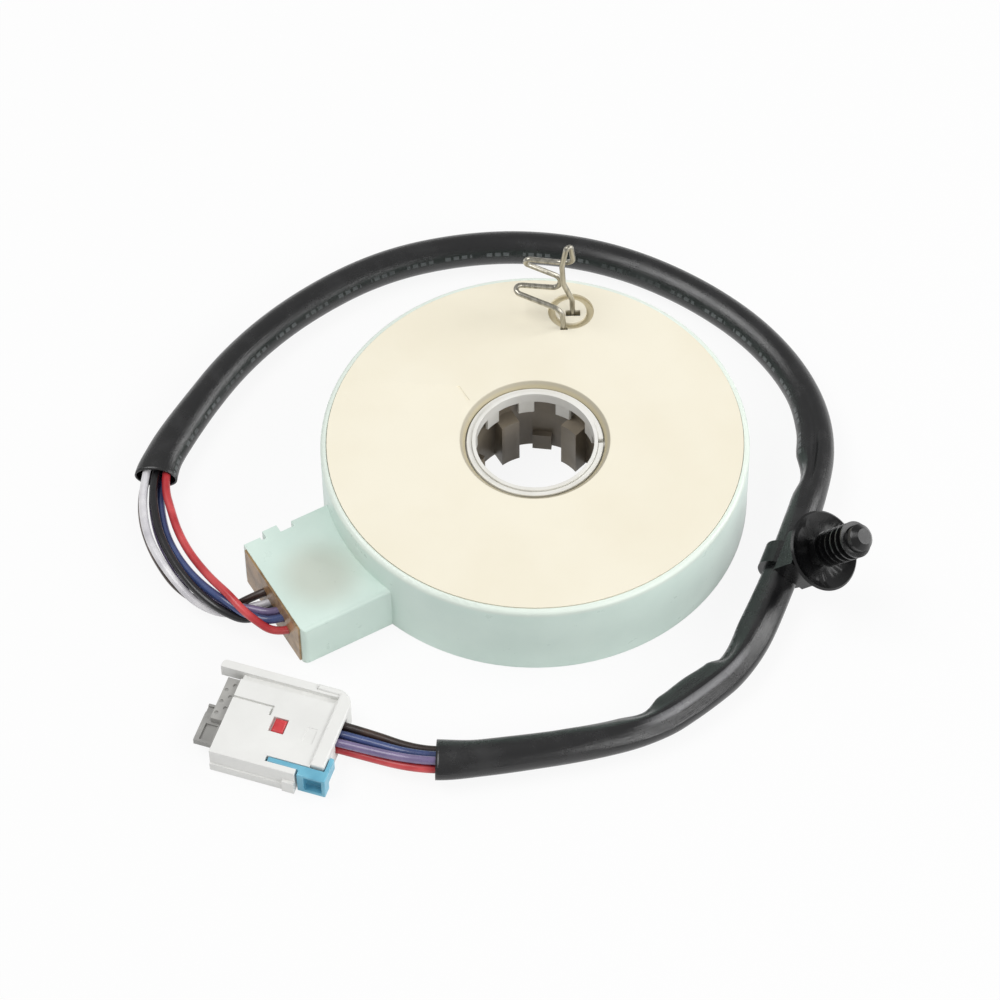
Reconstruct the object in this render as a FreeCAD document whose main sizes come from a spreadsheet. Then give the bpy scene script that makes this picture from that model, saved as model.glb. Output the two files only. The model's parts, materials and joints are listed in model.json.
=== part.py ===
"""Steering angle sensor: a flat round column sensor with its harness, built as its real pieces.

Frame: millimetres, +Z up along the steering shaft, origin on the shaft axis in the seating face.
The cable outlet points along -X. The harness lies on the seating plane beside the sensor.
"""
import FreeCAD
import Part
import math
import os
import types

import Sketcher

# Driving dimensions, in millimetres, degrees and counts

SIZES = {
    # round casing
    "casing_radius": 43.0,
    "casing_height": 18.2,
    "rim_lip": 1.15,
    "wall_thickness": 2.4,
    "floor_thickness": 1.6,
    "rim_round": 0.9,
    "board_ledge_width": 1.2,
    "board_ledge_height": 7.4,
    "collar_wall": 1.2,
    "collar_height": 3.0,
    # cable outlet
    "outlet_reach": 60.5,
    "outlet_near": 13.7,
    "outlet_far": 10.2,
    "outlet_shoulder": 11.5,
    "shoulder_setback": 10.9,
    "outlet_root": 20.0,
    "outlet_opening_depth": 4.0,
    "outlet_height": 11.0,
    "outlet_wall": 1.5,
    "outlet_round": 1.2,
    "corner_block_length": 3.7,
    "corner_block_out": 0.8,
    "lug_setback": 4.7,
    "lug_length": 3.2,
    "lug_out": 1.9,
    # cover
    "cover_thickness": 1.6,
    "cover_proud": 0.2,
    "cover_gap": 0.1,
    "cover_bore_bevel": 1.1,
    "facing_turn": -29.2,
    "clip_centre_x": 7.9,
    "clip_inset": 8.45,
    "clip_recess_radius": 4.7,
    "clip_boss_radius": 3.2,
    "clip_recess_depth": 1.2,
    "clip_slot_length": 3.0,
    "clip_slot_width": 1.5,
    "mark_length": 3.6,
    "mark_lean": 2.0,
    "mark_width": 0.5,
    "mark_depth": 0.15,
    "mark_x": -15.5,
    "mark_y": 10.3,
    # lock clip
    "clip_wire": 1.1,
    "clip_bend": 2.4,
    # rotors
    "claw_radius": 10.2,
    "claw_count": 5,
    "claw_width": 4.0,
    "claw_height": 11.9,
    "tab_radius": 12.1,
    "tab_width": 3.9,
    "tab_height": 4.3,
    "rotor_bore": 13.4,
    "rotor_wall": 1.3,
    "rotor_shoulder_width": 1.7,
    "rotor_shoulder_height": 1.2,
    "rotor_flange_radius": 33.0,
    "rotor_flange_height": 11.0,
    "rotor_flange_thickness": 1.2,
    "running_gap": 0.3,
    "axial_gap": 0.1,
    "hub_bore": 11.9,
    "hub_wall": 0.75,
    "tooth_height": 3.5,
    "tooth_relief": 0.2,
    "tooth_gap_count": 10,
    "tooth_gap_width": 4.4,
    "hub_flange_radius": 27.0,
    "hub_flange_thickness": 1.0,
    "hub_rise": 1.5,
    "ring_wall": 1.0,
    "ring_height": 1.1,
    "ring_split": 1.0,
    "ring_gap": 0.05,
    # boards and contacts
    "board_thickness": 1.0,
    "position_board_bore": 17.0,
    "torque_board_bore": 17.5,
    "torque_board_radius": 32.0,
    "board_edge_gap": 0.3,
    "carrier_start": 19.5,
    "carrier_length": 7.0,
    "carrier_width": 6.0,
    "carrier_height": 1.3,
    "contact_count": 3,
    "contact_pitch": 2.2,
    "contact_width": 0.9,
    "contact_leaf": 0.2,
    "contact_gap": 0.05,
    # ribbon cable
    "ribbon_start": 18.6,
    "ribbon_margin": 5.8,
    "ribbon_turns": 5,
    "ribbon_leaf": 0.25,
    "ribbon_low": 2.4,
    "ribbon_width": 4.2,
    "ribbon_block_length": 6.0,
    "ribbon_block_width": 4.4,
    # harness
    "wire_diameter": 1.7,
    "wire_pitch": 1.9,
    "sleeve_diameter": 7.0,
    "sleeve_bore": 6.2,
    "outlet_wire_pitch": 1.9,
    "outlet_wire_stagger": 1.6,
    "outlet_wire_y": -3.0,
    "outlet_wire_z": 5.5,
    "resin_proud": 0.4,
    "resin_depth": 5.5,
    "resin_edge": 0.3,
    "resin_gap": 0.05,
    "wire_tail": 0.6,
    "tongue_gap": 0.5,
    "terminal_length": 2.2,
    "terminal_diameter": 1.6,
    "terminal_pin": 0.8,
    # harness clip
    "strap_thickness": 1.3,
    "strap_width": 5.0,
    "strap_gap": 0.05,
    "saddle_length": 9.0,
    "saddle_width": 7.6,
    "saddle_top": 9.4,
    "dish_radius": 8.1,
    "dish_height": 11.2,
    "dish_rise": 2.2,
    "dish_leaf": 0.8,
    "dish_root": 3.3,
    "dish_bend": 6.0,
    "dish_bend_rise": 0.7,
    "stem_core": 2.7,
    "stem_fin": 3.65,
    "stem_fin_count": 6,
    "stem_fin_pitch": 1.7,
    "stem_fin_slope": 0.6,
    "stem_fin_land": 0.35,
    "stem_fin_back": 0.1,
    "stem_fin_start": 14.0,
    "stem_tip": 26.3,
    "clip_shift": 1.1,
    "stem_tip_bevel": 1.1,
    # connector
    "connector_x": -66.3,
    "connector_y": -36.1,
    "connector_turn": -48.2,
    "connector_front": -21.9,
    "connector_rear": -2.1,
    "connector_near": -9.5,
    "connector_far": 10.7,
    "connector_height": 5.8,
    "ledge_start": 8.5,
    "ledge_drop": 1.0,
    "rail_width": 1.2,
    "rail_start": -26.8,
    "rail_end": -6.9,
    "rail_hook_low": 2.8,
    "rail_hook_round": 0.9,
    "lug_middle": -5.6,
    "side_lug_length": 2.6,
    "side_lug_out": 0.7,
    "side_lug_height": 3.2,
    "skirt_out": 0.35,
    "skirt_height": 2.0,
    "collar_near": -6.6,
    "collar_length": 2.8,
    "collar_rise": 0.4,
    "collar_round": 3.6,
    "channel_size": 1.9,
    "channel_pitch": 2.1,
    "channel_y": 3.2,
    "channel_z": 2.9,
    "opening_gap": 0.3,
    "latch_end": -13.4,
    "latch_side": 4.4,
    "latch_slit": 0.45,
    "latch_depth": 0.6,
    "window_start": -12.7,
    "window_length": 3.1,
    "window_near": -1.4,
    "window_width": 3.5,
    "window_depth": 0.8,
    "keeper_gap": 0.15,
    "keeper_front_gap": 0.45,
    "keeper_round": 0.5,
    "badge_start": -5.6,
    "badge_near": -1.8,
    "badge_length": 2.1,
    "badge_width": 3.5,
    "badge_depth": 0.12,
    "insert_reach": 2.7,
    "insert_near": -1.6,
    "insert_far": 8.5,
    "insert_low": 0.6,
    "insert_top": 5.1,
    "insert_window": 1.5,
    "insert_dimple": 0.8,
    "insert_dimple_depth": 0.25,
    "insert_dimple_count": 3,
    "insert_dimple_pitch": 2.8,
    "insert_dimple_row": 1.3,
    "tongue_reach": 4.5,
    "tongue_near": -6.5,
    "tongue_far": 2.4,
    "tongue_low": 2.2,
    "tongue_top": 3.6,
    "tongue_rib": 0.5,
    "contact_box": 1.7,
    "wire_stop": 6.0,
    "wire_lead": 5.0,
    "contact_stop": 19.6,
    "groove_start": -10.9,
    "groove_near": -8.2,
    "groove_far": -6.9,
    "groove_depth": 2.3,
    "notch_start": -4.4,
    "lock_gap": 0.1,
    "lock_front_gap": 0.4,
    "lock_end": 1.8,
    "lock_plate": 0.9,
    "lock_plate_far": -3.6,
    "lock_plate_low": 2.4,
    "lock_low": 0.5,
    "lock_recess_start": -2.6,
    "lock_recess_length": 3.6,
    "lock_recess_low": 1.1,
    "lock_recess_height": 4.0,
    "lock_recess_depth": 1.7,
}

# Hand-chosen points that the middle of the wire bundle follows, from the outlet to the connector

FAN_ROUTE = [
    (-61.3, -3.0, 5.5),
    (-66.0, -0.5, 5.4),
    (-69.2, 2.9, 5.2),
    (-70.8, 8.4, 5.0),
    (-71.6, 14.0, 4.7),
    (-71.6, 19.9, 4.4),
    (-71.0, 25.8, 4.1),
    (-69.9, 31.6, 3.8),
    (-68.0, 37.2, 3.6),
]
SLEEVE_ROUTE = [
    (-63.5, 43.3, 3.6),
    (-52.4, 50.9, 3.6),
    (-36.7, 59.9, 3.6),
    (-19.3, 65.3, 3.6),
    (0.3, 66.9, 3.6),
    (18.0, 62.6, 3.6),
    (33.3, 54.5, 3.6),
    (46.0, 42.2, 3.6),
    (55.4, 25.7, 3.6),
    (60.4, 8.2, 3.6),
    (59.8, -9.0, 3.9),
    (53.2, -23.9, 5.6),
    (40.6, -36.9, 7.0),
    (25.4, -49.2, 4.3),
    (12.6, -58.6, 3.6),
    (1.5, -61.4, 3.6),
    (-10.5, -63.0, 3.6),
    (-24.5, -59.6, 3.6),
    (-37.0, -54.9, 3.6),
    (-46.5, -51.0, 3.6),
]
TAIL_ROUTE = [(-54.1, -46.2, 3.6)]

# How the bundle opens out from the sleeve to the outlet, one row for each point of the fan:
# share of the sideways spread, share of the flattening, turn in degrees

FAN_SHAPE = [
    (1.0, 1.0, 180.0),
    (0.6, 0.25, 157.0),
    (0.13, 0.0, 127.0),
    (0.0, 0.0, 92.0),
    (0.0, 0.0, 57.0),
    (0.0, 0.0, 28.0),
    (0.0, 0.0, 0.0),
    (0.0, 0.0, 0.0),
    (0.0, 0.0, 0.0),
]

# Each wire's column and row in the sleeve, and its place along the outlet's row

WIRES = {
    "wire_brown": (-1, -0.5, -2.5),
    "wire_white": (-1, 0.5, -1.5),
    "wire_black": (0, 0.5, -0.5),
    "wire_violet": (0, -0.5, 0.5),
    "wire_navy": (1, -0.5, 1.5),
    "wire_red": (1, 0.5, 2.5),
}

# Bends of the wire lock clip, measured from the middle of its recess and the cover's top, leg to leg

CLIP_POINTS = [
    (0.4, -0.5, -1.8),
    (0.2, -0.5, 4.2),
    (-1.6, -0.5, 9.2),
    (-1.9, -0.5, 14.6),
    (-0.5, 0.0, 22.8),
    (0.5, 0.9, 14.2),
    (-2.7, 1.7, 13.4),
    (-12.6, 2.2, 14.6),
    (-2.0, 2.0, 8.3),
    (-2.4, 1.9, 5.2),
    (-16.1, 1.7, 7.2),
    (-1.9, -4.2, 5.2),
    (-1.5, -4.2, -1.8),
]

# How much of the shorter run a bend may take, half a turn in degrees, and how far a cut passes its material

BEND_SHARE = 0.45
HALF_TURN = 180.0
OVERRUN = 1.0

# Shape of a leaf contact: where it leaves the holder, where it bends up and where it touches

LEAF_ROOT = 0.33
LEAF_KNEE = 0.55
LEAF_TOUCH = 0.8

# Turn of the claws and the teeth from the clip's side, in degrees

CLAW_PHASE = 46.5
TOOTH_PHASE = 79.5

# The run of the sleeve that carries the harness clip, and the way its stem points

CLIP_RUN = 12
STEM_DIRECTION = (0.249, -0.596, 0.763)

doc = FreeCAD.newDocument("SteeringAngleSensor")
sub_parts = []


# The sheet of sizes, and sizes that carry their own expression

class Size:
    """A length with its number and the sheet expression that gives it."""

    def __init__(self, value, text):
        self.value = value
        self.text = text

    def __add__(self, other):
        other = as_size(other)
        return Size(self.value + other.value, f"({self.text} + {other.text})")

    def __radd__(self, other):
        return as_size(other) + self

    def __sub__(self, other):
        other = as_size(other)
        return Size(self.value - other.value, f"({self.text} - {other.text})")

    def __rsub__(self, other):
        return as_size(other) - self

    def __mul__(self, other):
        other = as_size(other)
        return Size(self.value * other.value, f"({self.text} * {other.text})")

    def __rmul__(self, other):
        return as_size(other) * self

    def __truediv__(self, other):
        other = as_size(other)
        return Size(self.value / other.value, f"({self.text} / {other.text})")

    def __neg__(self):
        return Size(-self.value, f"(-1 * {self.text})")


def as_size(number):
    """Wrap a plain number, so that it can stand beside sheet sizes."""
    if isinstance(number, Size):
        return number
    return Size(float(number), repr(float(number)))


def fill_sheet():
    """Write the driving dimensions into the sheet and return them by name."""
    sheet = doc.addObject("Spreadsheet::Sheet", "Sizes")
    for row, (name, value) in enumerate(SIZES.items(), start=1):
        sheet.set(f"A{row}", name)
        sheet.set(f"B{row}", str(value))
        sheet.setAlias(f"B{row}", name)
    doc.recompute()
    return types.SimpleNamespace(**{name: Size(float(sheet.get(name)), f"Sizes.{name}") for name in SIZES})


def bind(item, field, size):
    """Tie a field of an object to the sheet."""
    item.setExpression(field, as_size(size).text)


d = fill_sheet()

# Places worked out from the driving dimensions

cover_top = d.casing_height + d.cover_proud
shelf_height = cover_top - d.cover_thickness
cover_radius = d.casing_radius - d.rim_lip - d.cover_gap
clip_centre = (d.clip_centre_x, cover_radius - d.clip_inset)
inner_radius = d.casing_radius - d.wall_thickness
ledge_radius = inner_radius - d.board_ledge_width
ribbon_pitch = (ledge_radius - d.ribbon_margin - d.ribbon_start) / d.ribbon_turns
rotor_radius = d.rotor_bore + d.rotor_wall
floor_hole = rotor_radius + d.running_gap
hub_radius = d.hub_bore + d.hub_wall
ring_radius = hub_radius + d.ring_gap + d.ring_wall
cover_bore = ring_radius + d.running_gap
hub_flange_top = shelf_height - d.running_gap
hub_flange_low = hub_flange_top - d.hub_flange_thickness
rotor_top = hub_flange_low - d.axial_gap
rotor_flange_top = d.rotor_flange_height + d.rotor_flange_thickness
torque_board_top = rotor_flange_top + d.board_thickness
position_board_top = d.board_ledge_height + d.board_thickness
rotor_shoulder_low = d.collar_height + d.axial_gap
rotor_shoulder_top = rotor_shoulder_low + d.rotor_shoulder_height
outlet_inner_near = d.outlet_near - d.outlet_wall
outlet_inner_far = d.outlet_far - d.outlet_wall
resin_face = d.outlet_reach + d.resin_proud
resin_back = resin_face - d.resin_depth
wire_start = resin_back - d.wire_tail


# Sketches and features

def origin_item(body, role):
    """A plane or axis of the body's own origin."""
    for item in body.Origin.OriginFeatures:
        if item.Role == role:
            return item
    raise RuntimeError(f"{body.Label} has no {role}")


def new_body(label, turn=0.0):
    """A body of its own, turned about the shaft axis."""
    body = doc.addObject("PartDesign::Body", label)
    body.Label = label
    body.Placement = FreeCAD.Placement(FreeCAD.Vector(), FreeCAD.Rotation(FreeCAD.Vector(0, 0, 1), turn))
    sub_parts.append(body)
    return body


def new_sketch(body, name, role="XY_Plane", lift=0.0):
    """A sketch on one of the body's origin planes, lifted along its normal."""
    sketch = body.newObject("Sketcher::SketchObject", name)
    sketch.AttachmentSupport = [(origin_item(body, role), "")]
    sketch.MapMode = "FlatFace"
    lift = as_size(lift)
    sketch.AttachmentOffset = FreeCAD.Placement(FreeCAD.Vector(0, 0, lift.value), FreeCAD.Rotation())
    bind(sketch, "AttachmentOffset.Base.z", lift)
    return sketch


def hold_point(sketch, element, point, place):
    """Fix a point of the sketch at a place measured from the sketch's origin."""
    for direction, size in zip(("DistanceX", "DistanceY"), place):
        size = as_size(size)
        ends = (-1, 1, element, point)
        if size.value < 0:
            ends = (element, point, -1, 1)
            size = -size
        index = sketch.addConstraint(Sketcher.Constraint(direction, *ends, size.value))
        bind(sketch, f"Constraints[{index}]", size)


def add_outline(sketch, corners):
    """A closed outline of straight lines through the corners."""
    first = sketch.GeometryCount
    places = [FreeCAD.Vector(as_size(x).value, as_size(y).value, 0) for x, y in corners]
    for start, end in zip(places, places[1:] + places[:1]):
        sketch.addGeometry(Part.LineSegment(start, end), False)
    count = len(corners)
    for step in range(count):
        following = first + (step + 1) % count
        sketch.addConstraint(Sketcher.Constraint("Coincident", first + step, 2, following, 1))
    for step, corner in enumerate(corners):
        hold_point(sketch, first + step, 1, corner)


def add_rectangle(sketch, low_x, low_y, high_x, high_y):
    """A rectangle between two corners."""
    add_outline(sketch, [(low_x, low_y), (high_x, low_y), (high_x, high_y), (low_x, high_y)])


def add_circle(sketch, radius, centre=(0.0, 0.0)):
    """A circle with its centre held."""
    radius = as_size(radius)
    middle = FreeCAD.Vector(as_size(centre[0]).value, as_size(centre[1]).value, 0)
    circle = sketch.addGeometry(Part.Circle(middle, FreeCAD.Vector(0, 0, 1), radius.value), False)
    hold_point(sketch, circle, 3, centre)
    index = sketch.addConstraint(Sketcher.Constraint("Radius", circle, radius.value))
    bind(sketch, f"Constraints[{index}]", radius)


def add_feature(body, kind, name, sketch):
    """A feature that uses a sketch as its profile."""
    feature = body.newObject(f"PartDesign::{kind}", name)
    feature.Profile = sketch
    return feature


def pad(body, name, sketch, length):
    """Raise a sketch along its normal."""
    feature = add_feature(body, "Pad", name, sketch)
    feature.Length = as_size(length).value
    bind(feature, "Length", length)
    doc.recompute()
    return feature


def check_cut(body, name, volume):
    """Stop if a cut took nothing away."""
    if body.Shape.Volume > volume - 1e-6:
        raise RuntimeError(f"{name} cuts nothing from {body.Label}")


def pocket(body, name, sketch, depth, along_normal=False):
    """Cut a sketch into the body, against its normal unless told otherwise."""
    volume = body.Shape.Volume
    feature = add_feature(body, "Pocket", name, sketch)
    feature.Length = as_size(depth).value
    feature.Reversed = along_normal
    bind(feature, "Length", depth)
    doc.recompute()
    check_cut(body, name, volume)
    return feature


def turn_profile(body, kind, name, corners):
    """Turn an outline of radius and height about the shaft axis."""
    sketch = new_sketch(body, f"{name}_profile", "XZ_Plane")
    add_outline(sketch, corners)
    volume = body.Shape.Volume if kind == "Groove" else 0.0
    feature = add_feature(body, kind, name, sketch)
    feature.ReferenceAxis = (sketch, ["V_Axis"])
    feature.Angle = 360.0
    doc.recompute()
    if kind == "Groove":
        check_cut(body, name, volume)
    return feature


def around_axis(body, name, feature, count):
    """Repeat a feature evenly about the shaft axis."""
    pattern = body.newObject("PartDesign::PolarPattern", name)
    pattern.Originals = [feature]
    pattern.Axis = (origin_item(body, "Z_Axis"), [""])
    pattern.Angle = 360.0
    pattern.Occurrences = int(count.value)
    bind(pattern, "Occurrences", count)
    body.Tip = pattern
    doc.recompute()
    return pattern


def pick_edges(body, wanted):
    """Names of the body's edges whose middle point passes the test."""
    names = []
    for number, edge in enumerate(body.Tip.Shape.Edges, start=1):
        middle = edge.valueAt((edge.FirstParameter + edge.LastParameter) / 2)
        if wanted(edge, middle):
            names.append(f"Edge{number}")
    return names


def dress_edges(body, kind, name, field, size, wanted):
    """Round or bevel the edges that pass the test."""
    base = body.Tip
    names = pick_edges(body, wanted)
    if not names:
        raise RuntimeError(f"{name} finds no edge on {body.Label}")
    feature = body.newObject(f"PartDesign::{kind}", name)
    feature.Base = (base, names)
    setattr(feature, field, size.value)
    bind(feature, field, size)
    doc.recompute()
    return feature


def near(first, second, slack=0.02):
    """Whether two numbers are the same within a small slack."""
    return abs(first - second) < slack


def on_circle(edge, radius, height):
    """Whether an edge is an arc of the given radius about the shaft axis at the given height."""
    curve = edge.Curve
    if not isinstance(curve, Part.Circle):
        return False
    flat = near(curve.Center.x, 0) and near(curve.Center.y, 0) and near(curve.Center.z, height)
    return flat and near(curve.Radius, radius)


# Shapes made with Part's own functions

def keep_shape(label, shape, place=None):
    """A sub-part whose shape comes from Part's functions."""
    item = doc.addObject("Part::Feature", label)
    item.Label = label
    item.Shape = shape
    if place is not None:
        item.Placement = place
    sub_parts.append(item)
    return item


def part_box(name, low, high):
    """A box primitive bound to the sheet, between a low and a high corner."""
    item = doc.addObject("Part::Box", name)
    fields = zip(("Length", "Width", "Height"), "xyz", low, high)
    for field, letter, start, end in fields:
        span = as_size(end) - as_size(start)
        setattr(item, field, span.value)
        bind(item, field, span)
        bind(item, f"Placement.Base.{letter}", start)
    doc.recompute()
    return item


def part_cylinder(name, start, direction, radius, length):
    """A cylinder primitive bound to the sheet, from a start point along a direction."""
    item = doc.addObject("Part::Cylinder", name)
    item.Placement = FreeCAD.Placement(
        FreeCAD.Vector(), FreeCAD.Rotation(FreeCAD.Vector(0, 0, 1), FreeCAD.Vector(*direction)))
    for letter, size in zip("xyz", start):
        bind(item, f"Placement.Base.{letter}", size)
    for field, size in (("Radius", radius), ("Height", length)):
        setattr(item, field, as_size(size).value)
        bind(item, field, size)
    doc.recompute()
    return item


def group(label, items):
    """A node that holds several alike pieces, each a solid of its own."""
    item = doc.addObject("Part::Compound", label)
    item.Label = label
    item.Links = items
    doc.recompute()
    sub_parts.append(item)
    return item


def rounded_path(points, largest=None, note=None):
    """Straight runs through the points, joined by tangent arcs as large as the runs allow."""
    points = [FreeCAD.Vector(*point) for point in points]
    edges = []
    radii = []
    at = points[0]
    for before, corner, after in zip(points, points[1:], points[2:]):
        inward = (corner - before).normalize()
        outward = (after - corner).normalize()
        half = inward.getAngle(outward) / 2
        shorter = min(before.distanceToPoint(corner), corner.distanceToPoint(after))
        setback = BEND_SHARE * shorter
        if largest is not None:
            setback = min(setback, largest * math.tan(half))
        radius = setback / math.tan(half)
        start = corner - inward * setback
        end = corner + outward * setback
        towards = (outward - inward).normalize()
        middle = corner + towards * (radius / math.cos(half) - radius)
        edges.append(Part.LineSegment(at, start).toShape())
        edges.append(Part.Arc(start, middle, end).toShape())
        radii.append(radius)
        at = end
    edges.append(Part.LineSegment(at, points[-1]).toShape())
    if note:
        print(note, "bend radii", " ".join(f"{radius:.1f}" for radius in radii))
    return Part.Wire(edges)


def tube_along(path, radius):
    """A solid round bar along a path."""
    start = path.Edges[0].valueAt(path.Edges[0].FirstParameter)
    direction = path.Edges[0].tangentAt(path.Edges[0].FirstParameter)
    ring = Part.Wire([Part.Circle(start, direction, radius).toShape()])
    return path.makePipeShell([ring], True, False)


def report_volume(label, shape, section, length):
    """Print a tube's volume beside its section times its length."""
    expected = section * length
    print(f"{label} volume {shape.Volume:.1f}, section times length {expected:.1f}, length {length:.1f}")


# Casing, cover and lock clip

def build_housing():
    """The round casing with its cable outlet, moulded as one piece."""
    body = new_body("housing")
    disc = new_sketch(body, "disc")
    add_circle(disc, d.casing_radius)
    pad(body, "disc_block", disc, d.casing_height)
    outlet = new_sketch(body, "outlet")
    reach = -d.outlet_reach
    block_end = reach + d.corner_block_length
    lug_start = reach + d.lug_setback
    lug_end = lug_start + d.lug_length
    shoulder = reach + d.shoulder_setback
    add_outline(outlet, [
        (reach, -d.outlet_near),
        (-d.outlet_root, -d.outlet_near),
        (-d.outlet_root, d.outlet_shoulder),
        (shoulder, d.outlet_shoulder),
        (shoulder, d.outlet_far),
        (lug_end, d.outlet_far),
        (lug_end, d.outlet_far + d.lug_out),
        (lug_start, d.outlet_far + d.lug_out),
        (lug_start, d.outlet_far),
        (block_end, d.outlet_far),
        (block_end, d.outlet_far + d.corner_block_out),
        (reach, d.outlet_far + d.corner_block_out),
    ])
    pad(body, "outlet_block", outlet, d.outlet_height)
    over = d.casing_height + OVERRUN
    turn_profile(body, "Groove", "inside", [
        (0, -OVERRUN),
        (floor_hole, -OVERRUN),
        (floor_hole, d.collar_height),
        (floor_hole + d.collar_wall, d.collar_height),
        (floor_hole + d.collar_wall, d.floor_thickness),
        (ledge_radius, d.floor_thickness),
        (ledge_radius, d.board_ledge_height),
        (inner_radius, d.board_ledge_height),
        (inner_radius, shelf_height),
        (d.casing_radius - d.rim_lip, shelf_height),
        (d.casing_radius - d.rim_lip, over),
        (0, over),
    ])
    cavity = new_sketch(body, "outlet_cavity", lift=d.outlet_height - d.outlet_wall)
    opening = -(ledge_radius - d.outlet_opening_depth)
    add_rectangle(cavity, reach - OVERRUN, -outlet_inner_near, opening, outlet_inner_far)
    pocket(body, "outlet_hollow", cavity, d.outlet_height - d.outlet_wall * 2)
    dress_edges(body, "Fillet", "rim_rounding", "Radius", d.rim_round,
                lambda edge, middle: on_circle(edge, d.casing_radius.value, d.casing_height.value))
    dress_edges(body, "Fillet", "outlet_rounding", "Radius", d.outlet_round, near_outlet_edge)
    return body


def near_outlet_edge(edge, middle):
    """The outlet's upright near corner and its long near top edge."""
    on_near_side = near(middle.y, -d.outlet_near.value)
    at_mouth = near(middle.x, -d.outlet_reach.value)
    upright = on_near_side and at_mouth and near(edge.Length, d.outlet_height.value)
    long_top = on_near_side and near(middle.z, d.outlet_height.value)
    return upright or long_top


def build_top_cover():
    """The flat cover, with its bevelled bore, the clip's recess and slots, and a small mark."""
    body = new_body("top_cover", d.facing_turn.value)
    ring = new_sketch(body, "ring", lift=shelf_height)
    add_circle(ring, cover_radius)
    add_circle(ring, cover_bore)
    pad(body, "plate", ring, d.cover_thickness)
    dress_edges(body, "Chamfer", "bore_bevel", "Size", d.cover_bore_bevel,
                lambda edge, middle: on_circle(edge, cover_bore.value, cover_top.value))
    recess = new_sketch(body, "recess", lift=cover_top)
    add_circle(recess, d.clip_recess_radius, clip_centre)
    add_circle(recess, d.clip_boss_radius, clip_centre)
    pocket(body, "clip_recess", recess, d.clip_recess_depth)
    slots = new_sketch(body, "slots", lift=cover_top)
    for (x, y, _), reach in ((CLIP_POINTS[0], d.clip_slot_length), (CLIP_POINTS[-1], d.clip_slot_width)):
        middle_x = clip_centre[0] + x
        middle_y = clip_centre[1] + y
        half_length = reach / 2
        half_width = d.clip_slot_width / 2
        add_rectangle(slots, middle_x - half_length, middle_y - half_width,
                      middle_x + half_length, middle_y + half_width)
    pocket(body, "clip_slots", slots, d.cover_thickness + OVERRUN)
    mark = new_sketch(body, "mark", lift=cover_top)
    add_outline(mark, [
        (d.mark_x + d.mark_lean, d.mark_y),
        (d.mark_x + d.mark_lean + d.mark_width, d.mark_y),
        (d.mark_x + d.mark_width, d.mark_y + d.mark_length),
        (d.mark_x, d.mark_y + d.mark_length),
    ])
    pocket(body, "index_mark", mark, d.mark_depth)
    return body


def build_lock_clip():
    """The bent steel wire that stands in the cover's recess."""
    centre = FreeCAD.Vector(clip_centre[0].value, clip_centre[1].value, cover_top.value)
    points = [tuple(centre + FreeCAD.Vector(*point)) for point in CLIP_POINTS]
    path = rounded_path(points, largest=d.clip_bend.value)
    wire = tube_along(path, d.clip_wire.value / 2)
    turn = FreeCAD.Rotation(FreeCAD.Vector(0, 0, 1), d.facing_turn.value)
    keep_shape("lock_clip", wire, FreeCAD.Placement(FreeCAD.Vector(), turn))


# Rotors

def build_lower_rotor():
    """The lower hub: a tube with claws inside it and a flange that carries a board."""
    body = new_body("lower_rotor", d.facing_turn.value + CLAW_PHASE)
    shoulder_radius = rotor_radius + d.rotor_shoulder_width
    turn_profile(body, "Revolution", "tube", [
        (d.rotor_bore, 0),
        (rotor_radius, 0),
        (rotor_radius, rotor_shoulder_low),
        (shoulder_radius, rotor_shoulder_low),
        (shoulder_radius, rotor_shoulder_top),
        (rotor_radius, rotor_shoulder_top),
        (rotor_radius, d.rotor_flange_height),
        (d.rotor_flange_radius, d.rotor_flange_height),
        (d.rotor_flange_radius, rotor_flange_top),
        (rotor_radius, rotor_flange_top),
        (rotor_radius, rotor_top),
        (d.rotor_bore, rotor_top),
    ])
    claw = new_sketch(body, "claw")
    outer = d.rotor_bore + d.rotor_wall / 2
    add_rectangle(claw, d.claw_radius - OVERRUN, -d.claw_width / 2, outer, d.claw_width / 2)
    around_axis(body, "claws", pad(body, "claw_rib", claw, d.claw_height), d.claw_count)
    tab = new_sketch(body, "tab")
    add_rectangle(tab, -outer, -d.tab_width / 2, -d.tab_radius, d.tab_width / 2)
    around_axis(body, "tabs", pad(body, "low_tab", tab, d.tab_height), d.claw_count)
    bore = new_sketch(body, "bore", lift=rotor_top)
    add_circle(bore, d.claw_radius)
    pocket(body, "claw_bore", bore, rotor_top)
    return body


def build_upper_rotor():
    """The upper hub: a toothed sleeve with a thin flange."""
    body = new_body("upper_rotor", d.facing_turn.value + TOOTH_PHASE)
    tooth_low = hub_flange_low - d.tooth_height
    hub_top = hub_flange_top + d.hub_rise
    tooth_bore = d.hub_bore + d.tooth_relief
    turn_profile(body, "Revolution", "hub_sleeve", [
        (tooth_bore, tooth_low),
        (hub_radius, tooth_low),
        (hub_radius, hub_flange_low),
        (d.hub_flange_radius, hub_flange_low),
        (d.hub_flange_radius, hub_flange_top),
        (hub_radius, hub_flange_top),
        (hub_radius, hub_top),
        (d.hub_bore, hub_top),
        (d.hub_bore, hub_flange_low),
        (tooth_bore, hub_flange_low),
    ])
    gap = new_sketch(body, "gap", lift=hub_flange_low)
    half = d.tooth_gap_width / 2
    add_rectangle(gap, d.hub_bore - OVERRUN, -half, hub_radius + OVERRUN, half)
    cut = pocket(body, "tooth_gap", gap, d.tooth_height + OVERRUN)
    around_axis(body, "tooth_gaps", cut, d.tooth_gap_count)
    return body


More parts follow.
